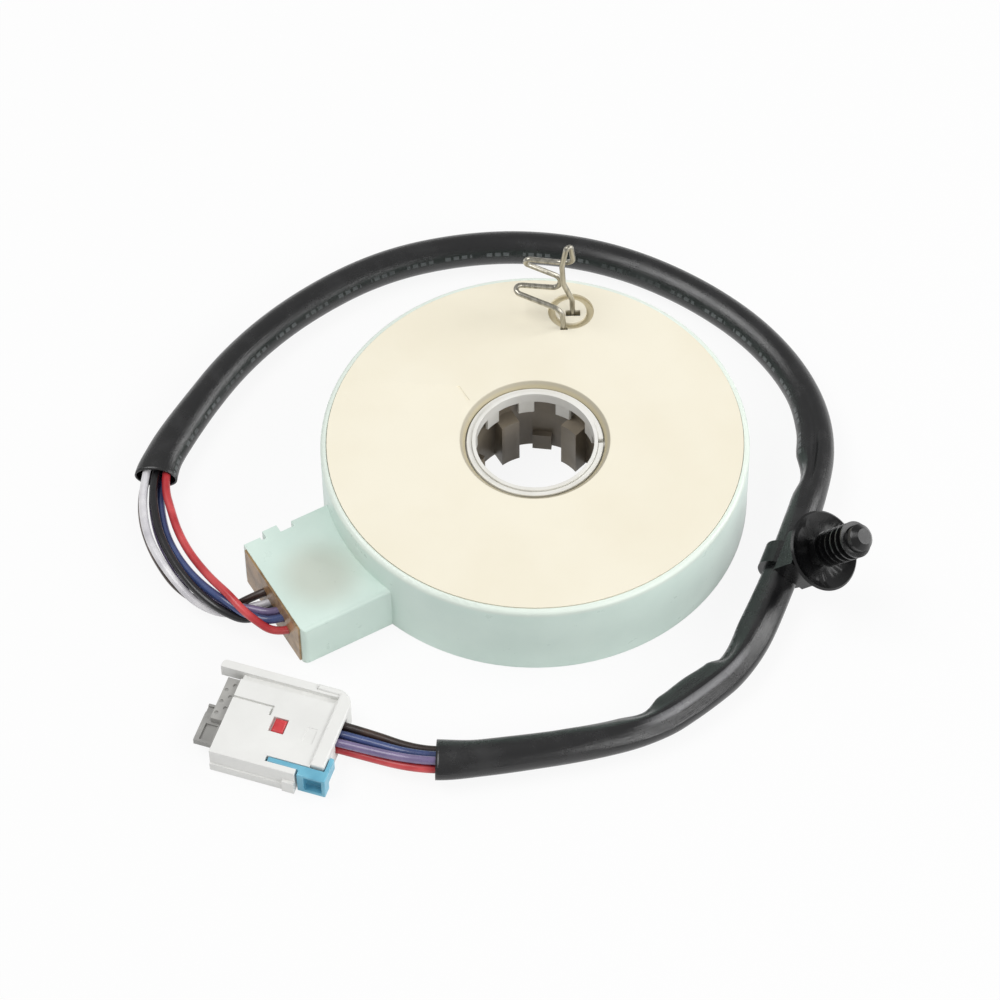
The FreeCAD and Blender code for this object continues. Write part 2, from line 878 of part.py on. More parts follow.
def build_split_ring():
    """The spring ring round the upper hub, open at one side."""
    body = new_body("split_ring", d.facing_turn.value)
    ring = new_sketch(body, "ring", lift=hub_flange_top)
    add_circle(ring, ring_radius)
    add_circle(ring, ring_radius - d.ring_wall)
    pad(body, "band", ring, d.ring_height)
    split = new_sketch(body, "split", lift=hub_flange_top + d.ring_height)
    add_rectangle(split, 0, -d.ring_split / 2, ring_radius + OVERRUN, d.ring_split / 2)
    pocket(body, "opening", split, d.ring_height)
    return body


# Boards, contacts and ribbon cable

def build_position_board():
    """The fixed board, with a tongue that reaches into the outlet."""
    body = new_body("position_board")
    low = d.board_ledge_height
    disc = new_sketch(body, "disc", lift=low)
    add_circle(disc, inner_radius - d.board_edge_gap)
    pad(body, "plate", disc, d.board_thickness)
    tongue = new_sketch(body, "tongue", lift=low)
    gap = d.board_edge_gap
    add_rectangle(tongue, -(wire_start - d.tongue_gap), -(outlet_inner_near - gap),
                  -d.outlet_root, outlet_inner_far - gap)
    pad(body, "outlet_tongue", tongue, d.board_thickness)
    bore = new_sketch(body, "bore", lift=position_board_top)
    add_circle(bore, d.position_board_bore)
    pocket(body, "bore_cut", bore, d.board_thickness)
    return body


def build_torque_board():
    """The ring board that turns with the lower hub."""
    body = new_body("torque_board")
    ring = new_sketch(body, "ring", lift=rotor_flange_top)
    add_circle(ring, d.torque_board_radius)
    add_circle(ring, d.torque_board_bore)
    pad(body, "plate", ring, d.board_thickness)
    return body


def build_carrier(label, top):
    """A block under a flange that holds the spring contacts."""
    body = new_body(label, d.facing_turn.value)
    block = new_sketch(body, "block", lift=top - d.carrier_height)
    half = d.carrier_width / 2
    add_rectangle(block, d.carrier_start, -half, d.carrier_start + d.carrier_length, half)
    pad(body, "holder", block, d.carrier_height)
    return body


def build_contacts(label, top, touch):
    """Three bent leaf contacts that hang from a carrier and run on a board."""
    leaf = d.contact_leaf.value
    root = top.value - d.carrier_height.value
    tip = touch.value + d.contact_gap.value
    half = d.carrier_width.value / 2
    profile = [
        (-half, root),
        (-half, root - leaf),
        (-half * LEAF_ROOT, root - leaf),
        (half * LEAF_KNEE, tip + leaf),
        (half * LEAF_TOUCH, tip),
        (half, tip + leaf),
        (half, tip + 2 * leaf),
        (half * LEAF_TOUCH, tip + leaf),
        (half * LEAF_KNEE, tip + 2 * leaf),
        (-half * LEAF_ROOT, root),
    ]
    outline = Part.makePolygon([FreeCAD.Vector(0, y, z) for y, z in profile + profile[:1]])
    leaves = []
    middle = d.carrier_start.value + d.carrier_length.value / 2
    count = int(d.contact_count.value)
    for step in range(count):
        start = middle + (step - (count - 1) / 2) * d.contact_pitch.value - d.contact_width.value / 2
        blade = Part.Face(outline).extrude(FreeCAD.Vector(d.contact_width.value, 0, 0))
        blade.translate(FreeCAD.Vector(start, 0, 0))
        leaves.append(blade)
    turn = FreeCAD.Rotation(FreeCAD.Vector(0, 0, 1), d.facing_turn.value)
    keep_shape(label, Part.makeCompound(leaves), FreeCAD.Placement(FreeCAD.Vector(), turn))


def spiral_edges(offset):
    """Half circles of growing radius, each tangent to the next, at an offset from the ribbon's middle."""
    pitch = ribbon_pitch.value
    edges = []
    for half_turn in range(2 * int(d.ribbon_turns.value)):
        upper = half_turn % 2 == 0
        centre = 0.0 if upper else pitch / 2
        radius = d.ribbon_start.value + half_turn * pitch / 2 + offset
        side = 1 if upper else -1
        start = FreeCAD.Vector(centre + side * radius, 0, 0)
        middle = FreeCAD.Vector(centre, side * radius, 0)
        end = FreeCAD.Vector(centre - side * radius, 0, 0)
        edges.append(Part.Arc(start, middle, end).toShape())
    return edges


def build_ribbon():
    """The flat cable, wound as a loose spiral that lets the lower hub turn, and its two blocks."""
    half = d.ribbon_leaf.value / 2
    outer = spiral_edges(half)
    inner = spiral_edges(-half)
    starts = [side[0].valueAt(side[0].FirstParameter) for side in (inner, outer)]
    ends = [side[-1].valueAt(side[-1].LastParameter) for side in (inner, outer)]
    caps = [Part.LineSegment(*starts).toShape(), Part.LineSegment(*ends).toShape()]
    outline = Part.Wire(Part.__sortEdges__(outer + inner + caps))
    ribbon = Part.Face(outline).extrude(FreeCAD.Vector(0, 0, d.ribbon_width.value))
    about = FreeCAD.Rotation(FreeCAD.Vector(0, 0, 1), HALF_TURN)
    keep_shape("ribbon_cable", ribbon, FreeCAD.Placement(FreeCAD.Vector(0, 0, d.ribbon_low.value), about))
    outer_end = d.ribbon_start + d.ribbon_turns * ribbon_pitch
    half_width = d.ribbon_block_width / 2
    block = part_box("ribbon_outer_block",
                     (-(outer_end + half_width), -d.ribbon_block_length, d.floor_thickness),
                     (-(outer_end - half_width / 2), 0, d.board_ledge_height))
    block.Label = "ribbon_outer_block"
    sub_parts.append(block)
    build_inner_block()


def build_inner_block():
    """The block on the lower hub's tube that holds the ribbon's inner end."""
    body = new_body("ribbon_inner_block", d.facing_turn.value)
    face = new_sketch(body, "face", lift=rotor_shoulder_top)
    half = d.ribbon_block_width / 2
    reach = d.ribbon_start - d.running_gap * 2
    add_rectangle(face, d.rotor_bore, -half, reach, half)
    pad(body, "block", face, d.ribbon_low + d.ribbon_width - rotor_shoulder_top)
    seat = new_sketch(body, "seat", lift=d.ribbon_low + d.ribbon_width)
    add_circle(seat, rotor_radius)
    pocket(body, "tube_seat", seat, d.ribbon_width)


# Harness

def connector_place():
    """Where the connector lies: its rear middle on the seating plane, turned towards the wires."""
    turn = FreeCAD.Rotation(FreeCAD.Vector(0, 0, 1), d.connector_turn.value)
    return FreeCAD.Placement(FreeCAD.Vector(d.connector_x.value, d.connector_y.value, 0), turn)


def bundle_points():
    """The bundle's middle from the outlet to the connector, with its opening and turn at each point."""
    start = (-wire_start.value, d.outlet_wire_y.value, d.outlet_wire_z.value)
    rear = connector_place().multVec(FreeCAD.Vector(d.wire_lead.value, d.channel_y.value, d.channel_z.value))
    stop = connector_place().multVec(FreeCAD.Vector(-d.wire_stop.value, d.channel_y.value, d.channel_z.value))
    points = [start] + FAN_ROUTE + SLEEVE_ROUTE + TAIL_ROUTE + [tuple(rear), tuple(stop)]
    closed = [(0.0, 0.0, 0.0)] * (len(SLEEVE_ROUTE) + 1)
    shapes = [(1.0, 1.0, HALF_TURN)] + FAN_SHAPE + closed
    return points, shapes


def sideways(points, index):
    """Level direction to the right of the route at a point, lengthened as a mitre at a turn."""
    before = FreeCAD.Vector(*points[max(index - 1, 0)])
    here = FreeCAD.Vector(*points[index])
    after = FreeCAD.Vector(*points[min(index + 1, len(points) - 1)])
    headings = []
    for start, end in ((before, here), (here, after)):
        run = FreeCAD.Vector(end.x - start.x, end.y - start.y, 0)
        if run.Length > 0:
            headings.append(run.normalize())
    middle = (headings[0] + headings[-1]).normalize()
    stretch = 1 / middle.dot(headings[0])
    return FreeCAD.Vector(middle.y, -middle.x, 0) * stretch


def wire_points(column, row, slot):
    """One wire's own points: its place in the bundle, carried along the route."""
    points, shapes = bundle_points()
    pitch = d.wire_pitch.value
    result = []
    for index, (x, y, z) in enumerate(points):
        across = column * pitch
        above = row * pitch
        if index < len(shapes):
            spread, flat, turn = shapes[index]
            across += spread * (slot * d.outlet_wire_pitch.value - across)
            above += flat * (row * d.outlet_wire_stagger.value - above)
        else:
            turn = 0.0
            across = column * d.channel_pitch.value
            above = row * d.channel_pitch.value
        angle = math.radians(turn)
        side = across * math.cos(angle) - above * math.sin(angle)
        lift = across * math.sin(angle) + above * math.cos(angle)
        offset = sideways(points, index) * side
        result.append((x + offset.x, y + offset.y, z + lift))
    return result


def build_wires():
    """Six insulated wires from the outlet's terminals through the sleeve to the connector."""
    radius = d.wire_diameter.value / 2
    for label, (column, row, slot) in WIRES.items():
        path = rounded_path(wire_points(column, row, slot), note=label)
        wire = tube_along(path, radius)
        keep_shape(label, wire)
        report_volume(label, wire, math.pi * radius ** 2, path.Length)


def sleeve_path():
    """The sleeve's middle: the bundle's own path between the middles of the two end runs."""
    points, _ = bundle_points()
    whole = rounded_path(points, note="bundle")
    first = len(FAN_ROUTE)
    last = first + len(SLEEVE_ROUTE)
    edges = whole.Edges
    kept = edges[2 * first:2 * last + 1]
    mouths = []
    for index in (first, last):
        start = FreeCAD.Vector(*points[index])
        end = FreeCAD.Vector(*points[index + 1])
        mouths.append((start + end) / 2)
    kept[0] = Part.LineSegment(mouths[0], kept[0].valueAt(kept[0].LastParameter)).toShape()
    kept[-1] = Part.LineSegment(kept[-1].valueAt(kept[-1].FirstParameter), mouths[1]).toShape()
    return Part.Wire(kept)


def build_sleeve():
    """The soft sleeve round the wires, open at both ends."""
    path = sleeve_path()
    outer = d.sleeve_diameter.value / 2
    inner = d.sleeve_bore.value / 2
    sleeve = tube_along(path, outer).cut(tube_along(path, inner))
    keep_shape("sleeve", sleeve)
    report_volume("sleeve", sleeve, math.pi * (outer ** 2 - inner ** 2), path.Length)


def outlet_wire_places():
    """Where each wire crosses the outlet, as y and z."""
    places = []
    for column, row, slot in WIRES.values():
        y = d.outlet_wire_y - slot * d.outlet_wire_pitch
        z = d.outlet_wire_z - row * d.outlet_wire_stagger
        places.append((y, z))
    return places


def build_potting():
    """The resin that fills the outlet's mouth, spills over its rim and closes round the wires."""
    filling = part_box("resin_filling", (-resin_face, -outlet_inner_near, d.outlet_wall),
                       (-resin_back, outlet_inner_far, d.outlet_height - d.outlet_wall))
    lip = part_box("resin_lip", (-resin_face, -(d.outlet_near - d.outlet_round), d.resin_edge),
                   (-d.outlet_reach, d.outlet_far - d.resin_edge, d.outlet_height - d.resin_edge))
    block = doc.addObject("Part::Fuse", "resin_block")
    block.Base = filling
    block.Tool = lip
    radius = d.wire_diameter.value / 2 + d.resin_gap.value
    holes = []
    for label, (column, row, slot) in WIRES.items():
        hole = doc.addObject("Part::Feature", f"{label}_hole")
        first_bend = wire_points(column, row, slot)[:3]
        hole.Shape = tube_along(rounded_path(first_bend), radius)
        holes.append(hole)
    tools = doc.addObject("Part::MultiFuse", "wire_holes")
    tools.Shapes = holes
    cut = doc.addObject("Part::Cut", "potting")
    cut.Label = "potting"
    cut.Base = block
    cut.Tool = tools
    doc.recompute()
    sub_parts.append(cut)


def build_outlet_terminals():
    """Six solder posts that join the wires to the board's tongue."""
    posts = []
    half = d.terminal_pin / 2
    back = -wire_start + d.terminal_length
    for number, (y, z) in enumerate(outlet_wire_places(), start=1):
        barrel = part_cylinder(f"barrel_{number}", (-wire_start, y, z), (1, 0, 0),
                               d.terminal_diameter / 2, d.terminal_length)
        pin = part_box(f"pin_{number}", (back - d.terminal_pin, y - half, z),
                       (back, y + half, d.board_ledge_height))
        post = doc.addObject("Part::MultiFuse", f"post_{number}")
        post.Shapes = [barrel, pin]
        posts.append(post)
    group("outlet_terminals", posts)


def build_harness_clip():
    """The push-in clip: strap, saddle, dish and finned stem, moulded as one piece."""
    body = new_body("harness_clip")
    dish_top = d.dish_height + d.dish_rise
    fins = []
    for step in range(int(d.stem_fin_count.value)):
        low = d.stem_fin_start + d.stem_fin_pitch * step
        land = low + d.stem_fin_slope
        fins += [
            (d.stem_core, low),
            (d.stem_fin, land),
            (d.stem_fin, land + d.stem_fin_land),
            (d.stem_core, land + d.stem_fin_land + d.stem_fin_back),
        ]
    turn_profile(body, "Revolution", "stem", [
        (0, d.saddle_top - OVERRUN),
        (d.dish_root, d.saddle_top - OVERRUN),
        (d.dish_root, d.dish_height - d.dish_leaf),
        (d.dish_bend, d.dish_height + d.dish_bend_rise - d.dish_leaf),
        (d.dish_radius, dish_top - d.dish_leaf / 2),
        (d.dish_radius - d.dish_leaf / 2, dish_top),
        (d.dish_bend, d.dish_height + d.dish_bend_rise + d.stem_fin_back),
        (d.stem_core, d.dish_height),
    ] + fins + [
        (d.stem_core, d.stem_tip - d.stem_tip_bevel),
        (d.stem_core - d.stem_tip_bevel, d.stem_tip),
        (0, d.stem_tip),
    ])
    saddle = new_sketch(body, "saddle", lift=d.sleeve_diameter / 2)
    add_rectangle(saddle, -d.saddle_length / 2, -d.saddle_width / 2, d.saddle_length / 2, d.saddle_width / 2)
    pad(body, "saddle_block", saddle, d.saddle_top - d.sleeve_diameter / 2)
    bore = d.sleeve_diameter / 2 + d.strap_gap
    strap = new_sketch(body, "strap", "YZ_Plane", lift=-d.strap_width / 2)
    add_circle(strap, bore + d.strap_thickness)
    pad(body, "strap_band", strap, d.strap_width)
    hole = new_sketch(body, "hole", "YZ_Plane", lift=d.saddle_length)
    add_circle(hole, bore)
    pocket(body, "sleeve_hole", hole, d.saddle_length * 2)
    points, _ = bundle_points()
    run = len(FAN_ROUTE) + 1 + int(CLIP_RUN)
    start = FreeCAD.Vector(*points[run])
    end = FreeCAD.Vector(*points[run + 1])
    along = (end - start).normalize()
    stem = FreeCAD.Vector(*STEM_DIRECTION)
    stem = (stem - along * stem.dot(along)).normalize()
    place = (start + end) / 2 + along * d.clip_shift.value
    body.Placement = FreeCAD.Placement(place, FreeCAD.Rotation(along, stem.cross(along), stem, "XZY"))
    print("clip stem's tip", place + stem * d.stem_tip.value, "along", stem)
    return body


# Connector, in a frame of its own: +X towards the wires, +Y to its far side

def new_connector_body(label):
    """A body that lies where the connector lies."""
    body = new_body(label)
    body.Placement = connector_place()
    for letter, size in (("x", d.connector_x), ("y", d.connector_y)):
        bind(body, f"Placement.Base.{letter}", size)
    bind(body, "Placement.Rotation.Angle", d.connector_turn)
    return body


def channel_places():
    """The middle of each terminal channel, as y and z."""
    places = []
    for column, row, _ in WIRES.values():
        places.append((d.channel_y - column * d.channel_pitch, d.channel_z + row * d.channel_pitch))
    return places


def build_connector_housing():
    """The white shell with its ledge, guide rail, latch arm, keeper window and channels."""
    body = new_connector_body("connector_housing")
    base = new_sketch(body, "base")
    add_rectangle(base, d.connector_front, d.connector_near, d.connector_rear, d.connector_far)
    pad(body, "base_block", base, d.connector_height)
    rail_near = d.connector_far - d.rail_width / 2
    rail_far = d.connector_far + d.rail_width
    rail = new_sketch(body, "rail")
    add_rectangle(rail, d.connector_front, rail_near, d.rail_end, rail_far)
    pad(body, "guide_rail", rail, d.connector_height)
    hook = new_sketch(body, "hook", lift=d.rail_hook_low)
    add_rectangle(hook, d.rail_start, rail_near, d.connector_front, rail_far)
    pad(body, "rail_hook", hook, d.connector_height - d.rail_hook_low)
    dress_edges(body, "Fillet", "hook_rounding", "Radius", d.rail_hook_round,
                lambda edge, middle: near(middle.x, d.rail_start.value) and near(middle.y, rail_far.value))
    lug = new_sketch(body, "lug")
    half = d.side_lug_length / 2
    add_rectangle(lug, d.lug_middle - half, d.connector_near - d.side_lug_out,
                  d.lug_middle + half, d.connector_near + d.side_lug_out)
    pad(body, "side_lug", lug, d.side_lug_height)
    skirt = new_sketch(body, "skirt")
    add_rectangle(skirt, d.connector_front, d.connector_near - d.skirt_out, d.notch_start, d.connector_near)
    pad(body, "near_skirt", skirt, d.skirt_height)
    cuts = new_sketch(body, "cuts", lift=d.connector_height)
    add_rectangle(cuts, d.connector_front - OVERRUN, d.ledge_start,
                  d.connector_rear + OVERRUN, rail_near)
    pocket(body, "ledge", cuts, d.ledge_drop)
    cut_channels(body)
    cut_latch(body)
    groove = new_sketch(body, "groove", lift=d.connector_height)
    add_rectangle(groove, d.groove_start, d.groove_near, d.connector_rear + OVERRUN, d.groove_far)
    pocket(body, "lock_groove", groove, d.groove_depth)
    notch = new_sketch(body, "notch", lift=d.connector_height)
    add_rectangle(notch, d.notch_start, d.connector_near - OVERRUN, d.connector_rear + OVERRUN, d.groove_far)
    pocket(body, "lock_notch", notch, d.connector_height + OVERRUN)
    return body


def cut_channels(body):
    """Six channels through the shell for the terminals."""
    channels = new_sketch(body, "channels", "YZ_Plane", lift=d.connector_rear)
    half = d.channel_size / 2
    for y, z in channel_places():
        add_rectangle(channels, y - half, z - half, y + half, z + half)
    pocket(body, "terminal_channels", channels, d.connector_rear - d.connector_front)


def cut_latch(body):
    """The slit beside the latch arm, the keeper's window and the blank badge."""
    slits = new_sketch(body, "slits", lift=d.connector_height)
    side = d.latch_side - d.latch_slit
    add_outline(slits, [
        (d.connector_front - OVERRUN, side),
        (d.latch_end - d.latch_slit, side),
        (d.latch_end - d.latch_slit, d.window_near + d.window_width),
        (d.latch_end, d.window_near + d.window_width),
        (d.latch_end, d.latch_side),
        (d.connector_front - OVERRUN, d.latch_side),
    ])
    pocket(body, "latch_slit", slits, d.latch_depth)
    window = new_sketch(body, "window", lift=d.connector_height)
    add_rectangle(window, d.window_start, d.window_near,
                  d.window_start + d.window_length, d.window_near + d.window_width)
    pocket(body, "keeper_window", window, d.window_depth)
    badge = new_sketch(body, "badge", lift=d.connector_height)
    add_rectangle(badge, d.badge_start, d.badge_near,
                  d.badge_start + d.badge_length, d.badge_near + d.badge_width)
    pocket(body, "blank_badge", badge, d.badge_depth)


def build_connector_collar():
    """The rear cover with its wire opening and the arm that reaches round to the rail."""
    body = new_connector_body("connector_collar")
    outline = new_sketch(body, "outline")
    collar_end = d.connector_rear + d.collar_length
    arm_far = d.connector_far + d.rail_width
    add_outline(outline, [
        (d.connector_rear, d.collar_near),
        (collar_end, d.collar_near),
        (collar_end, arm_far),
        (d.rail_end, arm_far),
        (d.rail_end, d.connector_far),
        (d.connector_rear, d.connector_far),
    ])
    pad(body, "cover_plate", outline, d.connector_height + d.collar_rise)
    dress_edges(body, "Fillet", "corner_rounding", "Radius", d.collar_round,
                lambda edge, middle: near(middle.x, collar_end.value) and near(middle.y, arm_far.value))
    half_width = d.channel_pitch + d.wire_diameter / 2 + d.opening_gap
    half_height = d.channel_pitch / 2 + d.wire_diameter / 2 + d.opening_gap / 2
    opening = new_sketch(body, "opening", "YZ_Plane", lift=collar_end)
    add_rectangle(opening, d.channel_y - half_width, d.channel_z - half_height,
                  d.channel_y + half_width, d.channel_z + half_height)
    pocket(body, "wire_opening", opening, d.collar_length)
    return body


def build_terminal_insert():
    """The grey front insert, pierced over each channel and dimpled on top, with its ribbed side tongue."""
    body = new_connector_body("terminal_insert")
    plate = new_sketch(body, "plate", lift=d.insert_low)
    add_rectangle(plate, d.connector_front - d.insert_reach, d.insert_near, d.connector_front, d.insert_far)
    pad(body, "front_plate", plate, d.insert_top - d.insert_low)
    tongue = new_sketch(body, "tongue", lift=d.tongue_low)
    add_outline(tongue, [
        (d.connector_front - d.tongue_reach, d.tongue_near),
        (d.connector_front, d.tongue_near),
        (d.connector_front, d.tongue_far),
        (d.connector_front - d.insert_reach, d.tongue_far),
        (d.connector_front - d.tongue_reach, d.tongue_far),
    ])
    pad(body, "side_tongue", tongue, d.tongue_top - d.tongue_low)
    groove = new_sketch(body, "groove", lift=d.tongue_top)
    rib = d.tongue_rib
    add_rectangle(groove, d.connector_front - d.tongue_reach + rib * 2, d.tongue_near + rib,
                  d.connector_front - rib * 2, d.insert_near - rib)
    pocket(body, "tongue_groove", groove, rib)
    dimples = new_sketch(body, "dimples", lift=d.insert_top)
    middle_x = d.connector_front - d.insert_reach / 2
    middle_y = (d.insert_near + d.insert_far) / 2
    count = int(d.insert_dimple_count.value)
    for side in (-1, 1):
        for step in range(count):
            x = middle_x + d.insert_dimple_row * side / 2
            y = middle_y + d.insert_dimple_pitch * (step - (count - 1) / 2 + side / 4)
            add_circle(dimples, d.insert_dimple / 2, (x, y))
    pocket(body, "top_dimples", dimples, d.insert_dimple_depth)
    holes = new_sketch(body, "holes", "YZ_Plane", lift=d.connector_front)
    half = d.insert_window / 2
    for y, z in channel_places():
        add_rectangle(holes, y - half, z - half, y + half, z + half)
    pocket(body, "contact_windows", holes, d.tongue_reach + OVERRUN)
    return body


def build_connector_keeper():
    """The red keeper with a rounded top, seated in the window of the shell."""
    body = new_connector_body("connector_keeper")
    block = new_sketch(body, "block", lift=d.connector_height - d.window_depth)
    gap = d.keeper_gap
    add_rectangle(block, d.window_start + d.keeper_front_gap, d.window_near + gap,
                  d.window_start + d.window_length - gap, d.window_near + d.window_width - gap)
    pad(body, "keeper", block, d.window_depth)
    dress_edges(body, "Fillet", "keeper_rounding", "Radius", d.keeper_round,
                lambda edge, middle: near(middle.z, d.connector_height.value))
    return body


def build_connector_terminals():
    """Six box contacts in their channels, each meeting the end of its wire."""
    boxes = []
    half = d.contact_box / 2
    for number, (y, z) in enumerate(channel_places(), start=1):
        floor = z - d.channel_size / 2
        boxes.append(part_box(f"contact_{number}", (-d.contact_stop, y - half, floor),
                              (-d.wire_stop, y + half, floor + d.contact_box)))
    node = group("connector_terminals", boxes)
    node.Placement = connector_place()


def build_connector_lock():
    """The blue slide that locks the connector: a bar in the groove, a block and an end plate."""
    body = new_connector_body("connector_lock")
    gap = d.lock_gap
    bar_low = d.connector_height - d.groove_depth
    top = d.connector_height - gap
    bar = new_sketch(body, "bar", lift=bar_low)
    add_rectangle(bar, d.groove_start + d.lock_front_gap, d.groove_near + gap, d.lock_end, d.groove_far - gap)
    pad(body, "bar_block", bar, top - bar_low)
    block = new_sketch(body, "block", lift=d.lock_low)
    add_rectangle(block, d.notch_start + d.lock_front_gap, d.connector_near + gap,
                  d.lock_end, d.groove_far - gap)
    pad(body, "end_block", block, top - d.lock_low)
    plate = new_sketch(body, "plate", lift=d.lock_plate_low)
    add_rectangle(plate, d.lock_end - d.lock_plate, d.groove_near + gap, d.lock_end, d.lock_plate_far)
    pad(body, "end_plate", plate, top - d.lock_plate_low)
    recess = new_sketch(body, "recess", "XZ_Plane", lift=-(d.connector_near + gap))
    start = d.lock_recess_start
    low = d.lock_recess_low
    add_rectangle(recess, start, low, start + d.lock_recess_length, low + d.lock_recess_height)
    pocket(body, "side_recess", recess, d.lock_recess_depth)
    return body


build_housing()
build_top_cover()
build_lock_clip()
build_lower_rotor()
build_upper_rotor()
build_split_ring()
build_position_board()
build_torque_board()
build_carrier("torque_carrier", hub_flange_low)
build_contacts("torque_contacts", hub_flange_low, torque_board_top)
build_carrier("position_carrier", d.rotor_flange_height)
build_contacts("position_contacts", d.rotor_flange_height, position_board_top)
build_ribbon()
build_potting()
build_outlet_terminals()
build_wires()
build_sleeve()
build_harness_clip()
build_connector_housing()
build_connector_collar()
build_terminal_insert()
build_connector_keeper()
build_connector_terminals()
build_connector_lock()
doc.recompute()

# Every object is checked before any file is written

for item in doc.Objects:
    if "Invalid" in item.State or "Error" in item.State:
        raise RuntimeError(f"{item.Label} failed: {item.State}")
for node in sub_parts:
    if node.Shape.isNull() or not node.Shape.isValid():
        raise RuntimeError(f"{node.Label} has no valid shape")

os.makedirs("parts", exist_ok=True)
for node in sub_parts:
    node.Shape.exportStep(f"parts/{node.Label}.step")
    print(f"{node.Label}: {len(node.Shape.Solids)} solid, volume {node.Shape.Volume:.1f}")
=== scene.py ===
# %% [markdown]
# A steering angle sensor sits on the steering column and measures how far and how hard the wheel is turned.
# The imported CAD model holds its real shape, so the scene starts from it as a fixed frame.
# This notebook gives each piece its finish, softens the sharp edges that a mould never makes,
# and lays the harness as soft pieces along the same route.

# %% Load the frame
import json
import math

import bmesh
import bpy
from mathutils import Matrix, Vector


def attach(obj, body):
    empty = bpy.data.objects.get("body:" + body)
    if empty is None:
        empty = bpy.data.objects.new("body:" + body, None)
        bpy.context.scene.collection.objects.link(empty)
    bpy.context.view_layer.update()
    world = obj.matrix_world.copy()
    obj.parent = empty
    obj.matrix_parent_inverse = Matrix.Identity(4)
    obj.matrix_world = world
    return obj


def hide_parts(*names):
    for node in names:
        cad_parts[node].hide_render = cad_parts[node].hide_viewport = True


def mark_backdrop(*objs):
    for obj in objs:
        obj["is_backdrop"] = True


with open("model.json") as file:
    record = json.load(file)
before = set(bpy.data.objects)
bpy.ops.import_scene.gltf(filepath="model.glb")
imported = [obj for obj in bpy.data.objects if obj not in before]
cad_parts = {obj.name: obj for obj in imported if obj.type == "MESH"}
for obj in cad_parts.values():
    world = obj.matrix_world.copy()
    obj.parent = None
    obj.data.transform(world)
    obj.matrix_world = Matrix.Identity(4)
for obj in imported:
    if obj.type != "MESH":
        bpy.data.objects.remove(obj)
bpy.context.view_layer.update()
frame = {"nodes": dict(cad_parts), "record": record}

MM = 0.001
nodes = frame["nodes"]

# %% [markdown]
# The photograph is taken from above at a little over 50 degrees, with a long lens.
# A camera could be aimed with a Track To constraint, but a chain of plain turns says exactly what was
# measured: turn about the vertical, tilt, a slight roll, and then a slide back along the line of sight.


# %% Camera
def new_object(name, data):
    """A new object, placed in the scene."""
    piece = bpy.data.objects.new(name, data)
    bpy.context.scene.collection.objects.link(piece)
    return piece


view_direction, view_height, view_lean = -29.2, 52.406, -0.797
view_slide = (-7.15, -0.978, 860)
view_turn = Matrix.Rotation(math.radians(view_direction), 4, "Z")
view_tilt = Matrix.Rotation(math.radians(90 - view_height), 4, "X")
view_roll = Matrix.Rotation(math.radians(view_lean), 4, "Z")
view_back = Matrix.Translation([value * MM for value in view_slide])
camera_data = bpy.data.cameras.new("camera")
camera_data.sensor_width = 36
camera_data.lens = 152.136
camera_data.clip_start = 0.05
camera = new_object("camera", camera_data)
camera.matrix_world = view_turn @ view_tilt @ view_roll @ view_back
bpy.context.scene.camera = camera
print("camera at", [round(v, 3) for v in camera.matrix_world.translation])

# %% [markdown]
# The harness is soft, so it is settled before the looks. The middle of the wire bundle follows one route,
# and each wire keeps its own place in the bundle: a column and a row. Between the outlet and the sleeve
# the wires lie loose, and the red one crosses over the others, so there each has its own listed places.
# Inside the sleeve the bundle turns over by half a turn, and the violet and navy wires change places.

# %% Route of the harness, in millimetres
fan_route = [
    (-61.3, -3.0, 5.5),
    (-66.0, -0.5, 5.4),
    (-69.2, 2.9, 5.2),
    (-70.8, 8.4, 5.0),
    (-71.6, 14.0, 4.7),
    (-71.6, 19.9, 4.4),
    (-71.0, 25.8, 4.1),
    (-69.9, 31.6, 3.8),
    (-68.0, 37.2, 3.6),
]
sleeve_route = [
    (-63.5, 43.3, 3.6),
    (-52.4, 50.9, 3.6),
    (-36.7, 59.9, 3.6),
    (-19.3, 65.3, 3.6),
    (0.3, 66.9, 3.6),
    (18.0, 62.6, 3.6),
    (33.3, 54.5, 3.6),
    (46.0, 42.2, 3.6),
    (55.4, 25.7, 3.6),
    (60.4, 8.2, 3.6),
    (59.8, -9.0, 3.9),
    (53.2, -23.9, 5.6),
    (40.6, -36.9, 7.0),
    (25.4, -49.2, 4.3),
    (12.6, -58.6, 3.6),
    (1.5, -61.4, 3.6),
    (-10.5, -63.0, 3.6),
    (-24.5, -59.6, 3.6),
    (-37.0, -54.9, 3.6),
    (-46.5, -51.0, 3.6),
]
plug_place = Matrix.Translation((-66.3, -36.1, 0.0)) @ Matrix.Rotation(math.radians(-48.2), 4, "Z")
channel_y, channel_z, channel_pitch = 3.2, 2.9, 2.1
outlet_start = (-54.8, -3.0, 5.5)
tail_route = [
    (-54.1, -46.2, 3.6),
    tuple(plug_place @ Vector((5.0, channel_y, channel_z))),
    tuple(plug_place @ Vector((-6.0, channel_y, channel_z))),
]
route = [Vector(point) for point in [outlet_start] + fan_route + sleeve_route + tail_route]
print("bundle points:", len(route))

# %% Place of each wire in the bundle
wire_pitch = 1.9
wire_places = {
    "brown": (-1, -0.5),
    "white": (-1, 0.5),
    "black": (0, 0.5),
    "violet": (0, -0.5),
    "navy": (1, -0.5),
    "red": (1, 0.5),
}

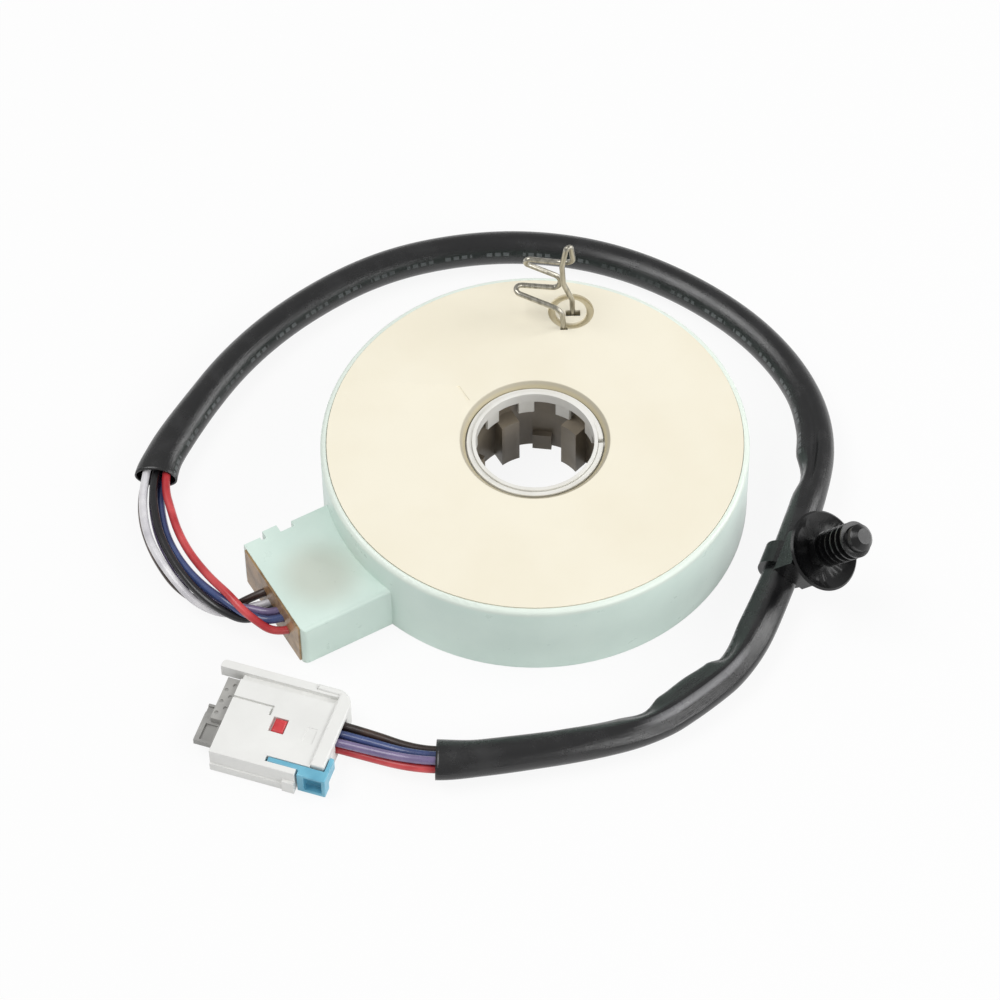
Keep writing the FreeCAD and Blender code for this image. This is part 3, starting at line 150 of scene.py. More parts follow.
# Places beside and above the route, from the outlet's terminals to the sleeve's mouth
fan_places = {
    "brown": [(4.75, 0.8), (4.75, 0.8), (4.3, -0.6), (2.4, -2.4), (-0.9, -3.2),
              (-3.0, -1.9), (-3.5, -0.9), (-3.5, -0.9), (-3.1, -0.8), (-2.3, -0.9)],
    "white": [(2.85, -0.8), (2.85, -0.8), (2.9, -1.9), (0.5, -3.1), (-2.3, -1.8),
              (-3.0, 0.0), (-3.5, 0.95), (-3.5, 0.95), (-2.8, 0.95), (-1.9, 0.95)],
    "black": [(0.95, -0.8), (1.37, -0.65), (-1.0, -1.5), (-1.1, 0.3), (-1.4, 0.7),
              (-1.3, 0.9), (-1.2, 0.9), (-1.1, 0.95), (-0.4, 0.95), (0.0, 0.95)],
    "violet": [(-0.95, 0.8), (-1.34, 0.86), (0.9, 0.5), (0.8, -0.4), (-0.2, -1.1),
               (-1.1, -1.0), (-1.2, -0.95), (-1.2, -0.95), (-0.7, -1.0), (-0.2, -0.95)],
    "navy": [(-2.85, 0.8), (-3.26, 0.88), (-0.9, 0.4), (0.6, 1.4), (0.7, 0.4),
             (0.55, -0.1), (0.35, -0.5), (0.3, -0.5), (0.9, -0.6), (1.4, -0.9)],
    "red": [(-4.75, -0.8), (-5.41, -1.39), (-1.6, 2.0), (1.5, 2.8), (2.3, 1.7),
            (2.7, 0.9), (2.6, 0.6), (2.6, 0.6), (2.9, 0.6), (2.5, 0.95)],
}
fan_end = len(fan_route) + 1

# Turn of the bundle in degrees at each point from the sleeve's mouth to the plug
bundle_turns = [0, 0, 30, 60, 90, 120, 150] + [180] * 11 + [170, 158, 155, 176, 180]

# Where violet and navy change places
swap_point = fan_end + 4
swap_places = {"violet": (0.5, -1.1), "navy": (0.5, 0.1), "red": (1, 0.8), "black": (0, 0.8)}
swapped_places = {**wire_places, "violet": wire_places["navy"], "navy": wire_places["violet"]}

# Where the sleeve folds in on its inner side, the bundle packs closer and lies further out and lower
fold_points = range(fan_end + 10, fan_end + 18)
fold_pitch, fold_shift, fold_drop = 1.75, 0.5, 0.2


def sideways(index):
    """Level direction to the right of the route, lengthened where the route turns."""
    here = route[index]
    headings = []
    for start, end in ((route[max(index - 1, 0)], here), (here, route[min(index + 1, len(route) - 1)])):
        run = (end - start).to_2d()
        if run.length > 0:
            headings.append(run.normalized())
    middle = (headings[0] + headings[-1]).normalized()
    return Vector((middle.y, -middle.x, 0.0)) / middle.dot(headings[0])


def wire_route(colour):
    """The points that one wire follows."""
    points = []
    closed_end = fan_end + len(sleeve_route) + 1
    for index, point in enumerate(route):
        if index < fan_end:
            side, lift = fan_places[colour][index]
        else:
            column, row = wire_places[colour] if index < swap_point else swapped_places[colour]
            if index == swap_point:
                column, row = swap_places.get(colour, wire_places[colour])
            pitch = wire_pitch if index < closed_end else channel_pitch
            if index in fold_points:
                pitch = fold_pitch
            angle = math.radians(bundle_turns[index - fan_end])
            side = pitch * (column * math.cos(angle) - row * math.sin(angle))
            lift = pitch * (column * math.sin(angle) + row * math.cos(angle))
            if index in fold_points:
                side -= fold_shift
                lift -= fold_drop
        points.append(point + sideways(index) * side + Vector((0, 0, lift)))
    return points


print("red wire starts in the outlet at", [round(v, 1) for v in wire_route("red")[0]])

# %% [markdown]
# A wire is a smooth line with a round section. A curve object with a bevel depth is the plainest way:
# the NURBS spline takes the route's points as control points, and order 3 keeps it close to them.
# The order is set after the points are added, because a spline with too few points lowers it.
# Each point carries the wire's real radius, and the bevel depth is left at 1, so it only passes that
# radius on. Blender measures a curve's box with the points' radius, and this way the box is true.

# %% Wires as NURBS curves
wire_radius = 0.85
spline_order, steps_along, steps_around = 3, 12, 5


def nurbs_curve(name, points, radius=0.0):
    """A smooth curve object through a route given in millimetres."""
    data = bpy.data.curves.new(name, "CURVE")
    data.dimensions = "3D"
    data.resolution_u = steps_along
    spline = data.splines.new("NURBS")
    spline.points.add(len(points) - 1)
    for control, point in zip(spline.points, points):
        control.co = (*(Vector(point) * MM), 1.0)
        control.radius = radius * MM
    spline.order_u = spline_order
    spline.use_endpoint_u = True
    spline.resolution_u = steps_along
    data.bevel_depth = 1.0 if radius else 0.0
    data.bevel_resolution = steps_around
    data.use_fill_caps = radius > 0
    return new_object(name, data)


def line_points(points):
    """Points along the smooth line of a route, in metres."""
    guide = nurbs_curve("guide", points)
    bpy.context.view_layer.update()
    mesh = bpy.data.meshes.new_from_object(guide)
    line = [vertex.co.copy() for vertex in mesh.vertices]
    bpy.data.objects.remove(guide)
    bpy.data.meshes.remove(mesh)
    return line


def line_length(line):
    """Length of a line of points."""
    return sum((end - start).length for start, end in zip(line, line[1:]))


wires = {}
for colour in wire_places:
    points = wire_route(colour)
    wires[colour] = nurbs_curve(f"insulated_wire_{colour}", points, wire_radius)
    line_length(line_points(points))

# %% [markdown]
# The sleeve is a soft vinyl tube. It is round where it lies easy, and it flattens and folds in where it
# turns sharply. One ring of points is made with create_circle and then extruded from station to station
# along the smooth line, and at each station the ring is flattened, turned and dented before it is set
# square to the line.

# %% Sleeve stations
near_mouth, far_mouth = (-65.75, 40.25, 3.6), (-50.3, -48.6, 3.6)
sleeve_line = line_points([near_mouth] + sleeve_route + [far_mouth])
sleeve_length = line_length(sleeve_line)
print("sleeve length, mm:", round(sleeve_length * 1000, 1), "stations:", len(sleeve_line))

# Share of the length, half width, half height, pinch of the inner side, crease along the top and
# how flat the skin is pressed, all but the shares in millimetres
sleeve_sections = [
    (0.0, 4.4, 2.9, 0.0, 0.0, 0.0),
    (0.02, 4.0, 3.1, 0.0, 0.0, 0.0),
    (0.08, 3.6, 3.35, 0.0, 0.0, 0.0),
    (0.3, 3.5, 3.45, 0.0, 0.0, 0.0),
    (0.56, 3.5, 3.4, 0.0, 0.0, 0.0),
    (0.6, 3.5, 3.4, -0.5, 0.6, 0.8),
    (0.622, 3.5, 3.3, -0.8, 1.2, 1.5),
    (0.643, 3.4, 3.3, 1.0, 1.0, 1.0),
    (0.665, 3.45, 3.4, 0.1, 0.1, 0.0),
    (0.69, 3.5, 3.5, 0.0, 0.0, 0.0),
    (0.725, 3.6, 3.45, 0.0, 0.0, 0.5),
    (0.765, 3.8, 3.35, 0.0, 0.0, 2.4),
    (0.795, 3.65, 3.3, 1.0, 0.0, 3.2),
    (0.81, 3.7, 3.3, -0.5, 0.0, 3.5),
    (0.83, 3.7, 3.3, -0.9, 0.0, 3.5),
    (0.85, 3.7, 3.3, -0.6, 0.0, 3.4),
    (0.866, 3.6, 3.25, 0.9, 0.0, 3.0),
    (0.885, 3.55, 3.3, 0.3, 0.0, 1.5),
    (0.92, 3.5, 3.25, 0.0, 0.0, 0.0),
    (0.97, 3.8, 3.1, 0.0, 0.0, 0.0),
    (1.0, 4.4, 2.85, 0.0, 0.0, 0.0),
]

# Where round the ring the skin falls in, from the outer side upwards: one crease, one pinch and two flats
crease_angle, crease_width = math.radians(100), math.radians(12)
pinch_angle = math.radians(168)
flat_angles, flat_height = (math.radians(68), math.radians(144)), 0.87

# From this share of the length on, the dents lean round the ring
lean_start, fold_lean = 0.7, math.radians(-20)


def section_at(share):
    """The table's sizes at a share of the length, eased between its rows."""
    for low, high in zip(sleeve_sections, sleeve_sections[1:]):
        if share <= high[0]:
            part = (share - low[0]) / (high[0] - low[0])
            part = part * part * (3 - 2 * part)
            return [a + (b - a) * part for a, b in zip(low[1:], high[1:])]
    return list(sleeve_sections[-1][1:])


def fallen_in(spot, pinch, crease, flat, lean):
    """How far the skin falls in at a spot of the unit ring."""
    angle = math.atan2(spot.y, spot.x) - lean
    fall = pinch * max(0.0, math.cos(angle - pinch_angle)) ** 4
    fall += crease * math.exp(-((angle - crease_angle) / crease_width) ** 2)
    for facing in flat_angles:
        fall += flat * max(0.0, 1 - flat_height / max(math.cos(angle - facing), flat_height))
    return fall


# %% Sleeve tube
ring_points = 56
sleeve_wall = 0.35
mm_per_uv = 10


def station_frame(line, index):
    """Turn that sets a ring square to the line: X to the outer side of the loop, Y up."""
    along = (line[min(index + 1, len(line) - 1)] - line[max(index - 1, 0)]).normalized()
    outward = Vector((-along.y, along.x, 0.0)).normalized()
    upward = along.cross(outward)
    if upward.z < 0:
        upward = -upward
    return Matrix((outward, upward, along)).transposed()


def match_ring(fresh, previous):
    """The new ring's points in the order of the ring that they grew from."""
    partner = {}
    for vertex in fresh:
        for edge in vertex.link_edges:
            other = edge.other_vert(vertex)
            if other not in fresh:
                partner[other] = vertex
    return [partner[vertex] for vertex in previous]


def put_in_order(bm):
    """Sort a bmesh by its vertices' numbers, so that each run writes the same mesh."""
    bm.verts.sort()
    count = len(bm.verts)
    for parts in (bm.edges, bm.faces):
        numbers = [[vertex.index for vertex in part.verts] for part in parts]
        ranks = {part: min(own) * count + max(own) for part, own in zip(parts, numbers)}
        parts.sort(key=ranks.get)


def write_smooth(bm, mesh):
    """Write a finished bmesh to its mesh, with smooth shading."""
    bm.to_mesh(mesh)
    bm.free()
    for polygon in mesh.polygons:
        polygon.use_smooth = True


def build_sleeve():
    """The soft tube, with the wire bundle's room inside."""
    bm = bmesh.new()
    bmesh.ops.create_circle(bm, cap_ends=False, segments=ring_points, radius=1.0)
    ring = list(bm.verts)
    unit = [vertex.co.copy() for vertex in ring]
    uv = bm.loops.layers.uv.new("along")
    edges = list(bm.edges)
    travelled = 0.0
    places = {}
    for index, centre in enumerate(sleeve_line):
        if index:
            grown = bmesh.ops.extrude_edge_only(bm, edges=edges)["geom"]
            fresh = [item for item in grown if isinstance(item, bmesh.types.BMVert)]
            edges = [item for item in grown if isinstance(item, bmesh.types.BMEdge)
                     and all(vertex in fresh for vertex in item.verts)]
            ring = match_ring(fresh, ring)
            travelled += (centre - sleeve_line[index - 1]).length
        share = travelled / sleeve_length
        wide, high, pinch, crease, flat = section_at(share)
        lean = fold_lean if share > lean_start else 0.0
        turn = station_frame(sleeve_line, index)
        for number, (vertex, spot) in enumerate(zip(ring, unit)):
            pull = fallen_in(spot, pinch, crease, flat, lean)
            local = Vector((spot.x * (wide - pull), spot.y * (high - pull), 0.0)) * MM
            vertex.co = centre + turn @ local
            vertex.index = index * ring_points + number
            places[vertex] = (travelled, number)
    for face in bm.faces:
        first = min(places[loop.vert][1] for loop in face.loops)
        for loop in face.loops:
            distance, number = places[loop.vert]
            if first == 0 and number > ring_points / 2:
                number -= ring_points
            loop[uv].uv = (distance / MM / mm_per_uv, number / ring_points)
    put_in_order(bm)
    bmesh.ops.recalc_face_normals(bm, faces=bm.faces)
    mesh = bpy.data.meshes.new("sleeve_tube")
    write_smooth(bm, mesh)
    piece = new_object("sleeve_tube", mesh)
    wall = piece.modifiers.new("wall", "SOLIDIFY")
    wall.thickness = sleeve_wall * MM
    wall.offset = -1
    return piece


sleeve_tube = build_sleeve()
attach(sleeve_tube, "casing")
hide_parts("sleeve")
print("sleeve faces:", len(sleeve_tube.data.polygons))

# %% [markdown]
# A moulded or pressed part never has a razor edge. A sharp edge catches no light, so it looks drawn,
# not made. A copy of the CAD node is merged into one skin, its flat areas are joined into single faces,
# and a Bevel modifier rounds every edge that turns by more than a set angle.
# The bevel shader node would be lighter, but it lives only in the renderer, and the mesh bevel lasts.

# %% Softened copies of CAD nodes
body_of = {node: body for body, members in frame["record"]["behaviour"]["bodies"].items() for node in members}
slot_of = {part["node"]: part["material_slot"] for part in frame["record"]["subparts"]}
merge_distance, coplanar_angle = 0.002, 0.6
round_segments, round_angle = 3, 28

# CAD node, name of its softened copy, and width of the rounded edges in millimetres
softened_names = [
    ("connector_housing", "plug_shell", 0.22),
    ("connector_collar", "plug_rear_cover", 0.35),
    ("terminal_insert", "plug_front_insert", 0.15),
    ("connector_lock", "plug_lock", 0.2),
    ("connector_keeper", "plug_keeper", 0.12),
    ("potting", "resin_filling", 0.3),
    ("harness_clip", "push_in_clip", 0.15),
    ("upper_rotor", "upper_hub", 0.12),
    ("lower_rotor", "lower_hub", 0.12),
    ("top_cover", "flat_cover", 0.1),
    ("housing", "casing_shell", 0.22),
    ("split_ring", "spring_ring", 0.12),
]


def softened(node, name, width):
    """A copy of a CAD node with its edges rounded, riding where the node rides."""
    mesh = nodes[node].data.copy()
    mesh.name = name
    bm = bmesh.new()
    bm.from_mesh(mesh)
    bmesh.ops.remove_doubles(bm, verts=bm.verts, dist=merge_distance * MM)
    bmesh.ops.dissolve_limit(bm, angle_limit=math.radians(coplanar_angle), verts=bm.verts, edges=bm.edges)
    write_smooth(bm, mesh)
    mesh.set_sharp_from_angle(angle=math.radians(round_angle))
    piece = new_object(name, mesh)
    rounding = piece.modifiers.new("rounding", "BEVEL")
    rounding.width = width * MM
    rounding.segments = round_segments
    rounding.limit_method = "ANGLE"
    rounding.angle_limit = math.radians(round_angle)
    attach(piece, body_of[node])
    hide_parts(node)
    return piece


softened_pieces = {node: softened(node, name, width) for node, name, width in softened_names}
print("softened:", sorted(softened_pieces))

# %% [markdown]
# Each wire rides with the casing, and its CAD wire is hidden.
# The wires end in the plug, and the sleeve is open at both ends and carries the push-in clip.

plug_nodes = ("connector_housing", "connector_collar", "terminal_insert", "connector_lock",
              "connector_keeper")
plug_pieces = [softened_pieces[node] for node in plug_nodes]
plug_pieces.append(nodes["connector_terminals"])
for colour, wire in wires.items():
    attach(wire, "casing")
    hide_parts(f"wire_{colour}")
    leave = wire_route(colour)[0]
print("cords declared:", len(wires) + 1)

# %% [markdown]
# Several plastics here share the same small effects: colour that drifts a little from place to place,
# gloss that is not quite even, and a fine grain from the mould. Built once as a shader node group,
# they can be placed in each material with that material's own values.


# %% Helpers for shader nodes
def srgb(red, green, blue):
    """A colour given as 0 to 255, as a shader's linear colour, by the sRGB standard's formula."""
    def linear(value):
        value /= 255
        return value / 12.92 if value <= 0.04045 else ((value + 0.055) / 1.055) ** 2.4
    return (linear(red), linear(green), linear(blue), 1.0)


def new_group(name, inputs, outputs):
    """An empty shader node group with its sockets and its two end nodes."""
    group = bpy.data.node_groups.new(name, "ShaderNodeTree")
    for label, kind, value in inputs:
        socket = group.interface.new_socket(name=label, in_out="INPUT", socket_type=kind)
        if value is not None:
            socket.default_value = value
    for label, kind in outputs:
        group.interface.new_socket(name=label, in_out="OUTPUT", socket_type=kind)
    return group, group.nodes.new("NodeGroupInput"), group.nodes.new("NodeGroupOutput")


def feed(tree, socket, value):
    """Set a socket to a plain value, or link it to another socket."""
    if isinstance(value, (int, float, tuple)):
        socket.default_value = value
    else:
        tree.links.new(value, socket)


def noise(tree, vector, scale, detail=3.0, roughness=0.5):
    """A noise texture on a vector."""
    node = tree.nodes.new("ShaderNodeTexNoise")
    node.inputs["Detail"].default_value = detail
    node.inputs["Roughness"].default_value = roughness
    tree.links.new(vector, node.inputs["Vector"])
    feed(tree, node.inputs["Scale"], scale)
    return node.outputs["Fac"]


def math_node(tree, operation, first, second=0.0):
    """One arithmetic step with one or two values or sockets."""
    node = tree.nodes.new("ShaderNodeMath")
    node.operation = operation
    feed(tree, node.inputs[0], first)
    feed(tree, node.inputs[1], second)
    return node.outputs[0]


def product(tree, first, *others):
    """Several values or sockets multiplied together."""
    for other in others:
        first = math_node(tree, "MULTIPLY", first, other)
    return first


def vector_step(tree, operation, vector, second=None):
    """One step of vector arithmetic, which gives a vector or its length."""
    node = tree.nodes.new("ShaderNodeVectorMath")
    node.operation = operation
    tree.links.new(vector, node.inputs[0])
    if second is not None:
        node.inputs[1].default_value = second
    return node.outputs["Value" if operation == "LENGTH" else "Vector"]


# A Mix node lists its sockets for numbers, vectors and colours together, so a colour's are found by place
mix_factor, mix_first, mix_second, mix_result = 0, 6, 7, 2


def mix_colour(tree, factor, first, second):
    """A mix of two colours."""
    node = tree.nodes.new("ShaderNodeMix")
    node.data_type = "RGBA"
    for place, value in ((mix_factor, factor), (mix_first, first), (mix_second, second)):
        feed(tree, node.inputs[place], value)
    return node.outputs[mix_result]


def ramp(tree, value, low, high):
    """A smooth step from 0 at low to 1 at high."""
    node = tree.nodes.new("ShaderNodeMapRange")
    node.interpolation_type = "SMOOTHSTEP"
    node.inputs["From Min"].default_value = low
    node.inputs["From Max"].default_value = high
    tree.links.new(value, node.inputs["Value"])
    return node.outputs["Result"]


def bumped(tree, height, distance, strength):
    """A surface normal raised by a height over a distance in metres."""
    node = tree.nodes.new("ShaderNodeBump")
    node.inputs["Distance"].default_value = distance
    feed(tree, node.inputs["Strength"], strength)
    tree.links.new(height, node.inputs["Height"])
    return node.outputs["Normal"]


# %% Shared effect: moulded surface
grain_size, grain_height = 2500.0, 0.00006
smudges_per_drift = 3.0


def build_moulded_group():
    """Colour drift, uneven gloss and fine mould grain."""
    group, start, end = new_group(
        "moulded_surface",
        [("Vector", "NodeSocketVector", None), ("Colour", "NodeSocketColor", None),
         ("Shade", "NodeSocketColor", None), ("Drift size", "NodeSocketFloat", 90.0),
         ("Gloss low", "NodeSocketFloat", 0.4), ("Gloss high", "NodeSocketFloat", 0.55),
         ("Grain depth", "NodeSocketFloat", 0.1)],
        [("Colour", "NodeSocketColor"), ("Roughness", "NodeSocketFloat"), ("Normal", "NodeSocketVector")])
    vector = start.outputs["Vector"]
    drift_size, gloss_low = start.outputs["Drift size"], start.outputs["Gloss low"]
    drift = ramp(group, noise(group, vector, drift_size, detail=4.0), low=0.3, high=0.72)
    colour = mix_colour(group, drift, start.outputs["Colour"], start.outputs["Shade"])
    smudge_size = product(group, drift_size, smudges_per_drift)
    smudge = ramp(group, noise(group, vector, smudge_size, detail=5.0, roughness=0.6), low=0.25, high=0.8)
    spread = math_node(group, "SUBTRACT", start.outputs["Gloss high"], gloss_low)
    gloss = math_node(group, "ADD", gloss_low, product(group, smudge, spread))
    grain = noise(group, vector, grain_size, detail=2.0)
    normal = bumped(group, grain, grain_height, start.outputs["Grain depth"])
    for label, result in (("Colour", colour), ("Roughness", gloss), ("Normal", normal)):
        group.links.new(result, end.inputs[label])
    return group


moulded_surface = build_moulded_group()


def blank_material(name):
    """A material with its Principled shader and Object coordinates ready."""
    material = bpy.data.materials.new(name)
    material.use_nodes = True
    tree = material.node_tree
    shader = tree.nodes["Principled BSDF"]
    place = tree.nodes.new("ShaderNodeTexCoord").outputs["Object"]
    return material, tree, shader, place


def moulded(name, colour, shade, gloss, drift=90.0, depth=0.1, coat=0.0):
    """A moulded plastic with its own colours, range of gloss, drift size, grain depth and clear coat."""
    material, tree, shader, place = blank_material(name)
    effect = tree.nodes.new("ShaderNodeGroup")
    effect.node_tree = moulded_surface
    tree.links.new(place, effect.inputs["Vector"])
    effect.inputs["Colour"].default_value = srgb(*colour)
    effect.inputs["Shade"].default_value = srgb(*shade)
    effect.inputs["Drift size"].default_value = drift
    effect.inputs["Gloss low"].default_value, effect.inputs["Gloss high"].default_value = gloss
    effect.inputs["Grain depth"].default_value = depth
    tree.links.new(effect.outputs["Colour"], shader.inputs["Base Color"])
    tree.links.new(effect.outputs["Roughness"], shader.inputs["Roughness"])
    tree.links.new(effect.outputs["Normal"], shader.inputs["Normal"])
    shader.inputs["Coat Weight"].default_value = coat
    return material


def moulded_set(looks):
    """The materials of a table: by name, the colour, shade, range of gloss and what else is not plain."""
    return {name: moulded(name, colour, shade, gloss, **further)
            for name, (colour, shade, gloss, further) in looks.items()}


print("shared group inputs and outputs:", len(moulded_surface.interface.items_tree))

# %% [markdown]
# Casing, cover and hubs are injection moulded. The mint casing is smooth with a soft sheen, the cream
# cover is matt, the upper hub is white, and the lower hub's grey-brown is painted shade over a beige plastic
# that lies deep in the bore.
# They differ only in values.

# %% Plastics of the casing, the hubs and the plug
plastics = moulded_set({
    "hub_plastic": ((236, 235, 230), (222, 220, 212), (0.3, 0.42), {"depth": 0.08}),
    # Painted shade: the lower hub's beige is painted a darker grey-brown
    "rotor_plastic": ((134, 124, 108), (112, 103, 90), (0.38, 0.52), {"depth": 0.15}),
    "holder_plastic": ((48, 48, 50), (36, 36, 38), (0.4, 0.5), {}),
    "clip_plastic": ((17, 17, 18), (11, 11, 12), (0.2, 0.34), {"depth": 0.12}),
    "plug_plastic": ((235, 235, 232), (228, 228, 225), (0.38, 0.5), {"depth": 0.08}),
    "insert_plastic": ((176, 175, 171), (152, 151, 148), (0.4, 0.52), {}),
    "lock_plastic": ((122, 190, 213), (98, 166, 192), (0.3, 0.42), {"drift": 200.0}),
    "keeper_plastic": ((214, 72, 76), (190, 48, 54), (0.25, 0.36), {"drift": 300.0}),
    "cream_plastic": ((243, 237, 218), (239, 232, 211), (0.48, 0.6), {"drift": 40.0, "depth": 0.12}),
    "mint_plastic": ((217, 235, 226), (210, 229, 220), (0.27, 0.34), {"depth": 0.05}),
})
print("plastics:", sorted(plastics))

# %% [markdown]
# Some colours change at one place only. Painted shade greys the cover's bevelled bore and darkens the recess
# round the wire clip, a painted highlight pales the casing's rim, and the outlet's top is mixed a little
# greyer towards one point. Each is a mask from Object coordinates: a distance from a point,
# with the axes that don't matter set to nothing.

# %% Local tints
level_axes, upright_axis, all_axes = (1.0, 1.0, 0.0), (0.0, 0.0, 1.0), (1.0, 1.0, 1.0)
bore_centre, recess_floor = (0, 0, 0), (0, 0, 17.1)
rim_top, outlet_top = (0, 0, 18.2), (-51.0, -3.0, 11.0)

# Plastic, centre, axes that count, distance with the full tint, distance without it, strength, colour
tints = [
    # Painted shade: the bevelled bore is painted grey-beige
    ("cream_plastic", bore_centre, level_axes, 14.9, 15.25, 0.75, (158, 150, 130)),
    # Painted shade: the recess round the wire clip is painted darker
    ("cream_plastic", recess_floor, upright_axis, 0.5, 1.0, 0.6, (196, 184, 146)),
    # Painted highlight: the casing's rim is painted paler
    ("mint_plastic", rim_top, upright_axis, 0.3, 1.7, 0.65, (240, 246, 236)),
    ("mint_plastic", outlet_top, all_axes, 3.0, 11.0, 0.55, (188, 187, 172)),
]


def add_tint(material, centre, axes, near, far, strength, tint):
    """Mix a tint into a material round a centre, with all sizes in millimetres."""
    tree = material.node_tree
    shader = tree.nodes["Principled BSDF"]
    base = shader.inputs["Base Color"].links[0].from_socket
    place = tree.nodes.new("ShaderNodeTexCoord").outputs["Object"]
    offset = vector_step(tree, "SUBTRACT", place, Vector(centre) * MM)
    distance = vector_step(tree, "LENGTH", vector_step(tree, "MULTIPLY", offset, axes))
    mask = product(tree, ramp(tree, distance, far * MM, near * MM), strength)
    tree.links.new(mix_colour(tree, mask, base, srgb(*tint)), shader.inputs["Base Color"])


for name, *values in tints:
    add_tint(plastics[name], *values)
print("local tints:", len(tints))

# %% [markdown]
# The resin in the outlet is poured by hand. It is darker where it is deep, has small specks and bubbles,
# and creeps up the walls. A clear coat over mottled colour gives that wet, cast look.


# %% Potting resin
def build_resin():
    """Mottled cast resin with specks."""
    material, tree, shader, place = blank_material("cast_resin")
    thin_resin, deep_resin, speck = srgb(172, 140, 98), srgb(126, 97, 62), srgb(80, 62, 44)
    mottle = ramp(tree, noise(tree, place, 260.0, detail=5.0, roughness=0.6), low=0.32, high=0.68)
    colour = mix_colour(tree, mottle, thin_resin, deep_resin)
    specks = tree.nodes.new("ShaderNodeTexVoronoi")
    specks.inputs["Scale"].default_value = 900.0
    tree.links.new(place, specks.inputs["Vector"])
    dots = ramp(tree, specks.outputs["Distance"], low=0.22, high=0.1)
    colour = mix_colour(tree, product(tree, dots, 0.5), colour, speck)
    tree.links.new(colour, shader.inputs["Base Color"])
    normal = bumped(tree, noise(tree, place, 420.0), distance=0.0003, strength=0.5)
    tree.links.new(normal, shader.inputs["Normal"])
    shader.inputs["Roughness"].default_value = 0.4
    shader.inputs["Coat Weight"].default_value = 0.15
    shader.inputs["Coat Roughness"].default_value = 0.15
    return material


cast_resin = build_resin()
print("resin nodes:", len(cast_resin.node_tree.nodes))

# %% [markdown]
# Drawn spring wire has faint lengthwise streaks and small bright nicks. Stamped contacts are cleaner.
# Both are one metal material with a streaked noise: the noise is stretched along one axis with
# a Mapping node.


# %% Metals
def stretched(tree, vector, scale):
    """A vector scaled by its own factor along each axis."""
    mapping = tree.nodes.new("ShaderNodeMapping")
    mapping.inputs["Scale"].default_value = scale
    tree.links.new(vector, mapping.inputs["Vector"])
    return mapping.outputs["Vector"]


def metal(name, colour, shade, gloss, stretch):
    """A metal with fine streaks along one axis."""
    material, tree, shader, place = blank_material(name)
    streaks = noise(tree, stretched(tree, place, stretch), 1400.0, detail=4.0, roughness=0.6)
    streaked = mix_colour(tree, ramp(tree, streaks, low=0.35, high=0.7), colour, shade)
    tree.links.new(streaked, shader.inputs["Base Color"])
    spread = product(tree, streaks, gloss[1] - gloss[0])
    tree.links.new(math_node(tree, "ADD", spread, gloss[0]), shader.inputs["Roughness"])
    normal = bumped(tree, streaks, distance=0.00003, strength=0.25)
    tree.links.new(normal, shader.inputs["Normal"])
    shader.inputs["Metallic"].default_value = 1.0
    return material


spring_steel = metal("spring_steel", srgb(196, 192, 180), srgb(150, 146, 134),
                     gloss=(0.2, 0.42), stretch=(1.0, 1.0, 0.12))
contact_brass = metal("contact_brass", srgb(214, 186, 120), srgb(178, 148, 88),
                      gloss=(0.22, 0.38), stretch=(0.2, 1.0, 1.0))
print("metals:", spring_steel.name, contact_brass.name)

# %% [markdown]
# A circuit board is green solder mask over copper: the tracks show as slightly lighter, raised bands.
# Rings of tracks suit these boards, because round contacts run on them, so a Wave texture in rings
# makes them. The ribbon cable is amber film over flat conductors, which a Wave texture in bands along
# its height makes.

# %% Boards and ribbon film
speckle_shade = 0.82


def banded(name, base, band, wave_type, scale, edges, gloss):
    """A material with regular raised bands or rings about its height."""
    material, tree, shader, place = blank_material(name)
    wave = tree.nodes.new("ShaderNodeTexWave")
    wave.wave_type = wave_type
    wave.bands_direction = "Z"
    wave.rings_direction = "Z"
    wave.inputs["Scale"].default_value = scale
    tree.links.new(place, wave.inputs["Vector"])
    mask = ramp(tree, wave.outputs["Fac"], *edges)
    speckle = ramp(tree, noise(tree, place, 700.0, detail=4.0), low=0.3, high=0.75)
    darker = tuple(value * speckle_shade for value in base[:3]) + (1.0,)
    ground = mix_colour(tree, speckle, base, darker)
    tree.links.new(mix_colour(tree, mask, ground, band), shader.inputs["Base Color"])
    normal = bumped(tree, mask, distance=0.00008, strength=0.6)
    tree.links.new(normal, shader.inputs["Normal"])
    uneven = math_node(tree, "ADD", product(tree, speckle, 0.12), gloss)
    tree.links.new(uneven, shader.inputs["Roughness"])
    return material


circuit_board = banded("circuit_board", srgb(24, 92, 52), srgb(46, 128, 74), "RINGS",
                       scale=160.0, edges=(0.55, 0.62), gloss=0.28)
ribbon_film = banded("ribbon_film", srgb(206, 150, 70), srgb(150, 92, 44), "BANDS",
                     scale=420.0, edges=(0.4, 0.5), gloss=0.25)
print("banded:", circuit_board.name, ribbon_film.name)

# %% [markdown]
# Wire insulation is extruded, so its fine marks run along the wire, and it is a little glossy.
# A curve's own object coordinates don't follow the wire, but at this size soft drift and tiny specks
# are enough.

# %% Wire insulation
insulation = moulded_set({
    "insulation_brown": ((70, 50, 40), (40, 30, 26), (0.3, 0.42), {"drift": 160.0, "coat": 0.2}),
    "insulation_white": ((232, 230, 232), (196, 194, 200), (0.3, 0.42), {"drift": 160.0, "coat": 0.2}),
    "insulation_black": ((32, 31, 34), (20, 20, 22), (0.25, 0.4), {"drift": 160.0, "coat": 0.25}),
    "insulation_violet": ((128, 114, 152), (104, 92, 130), (0.22, 0.34), {"drift": 160.0, "coat": 0.5}),
    "insulation_navy": ((72, 88, 138), (50, 64, 110), (0.22, 0.34), {"drift": 160.0, "coat": 0.5}),
    "insulation_red": ((214, 84, 86), (180, 44, 50), (0.28, 0.4), {"drift": 160.0, "coat": 0.2}),
})
for colour, wire in wires.items():
    wire.data.materials.append(insulation[f"insulation_{colour}"])
print("insulations:", sorted(insulation))
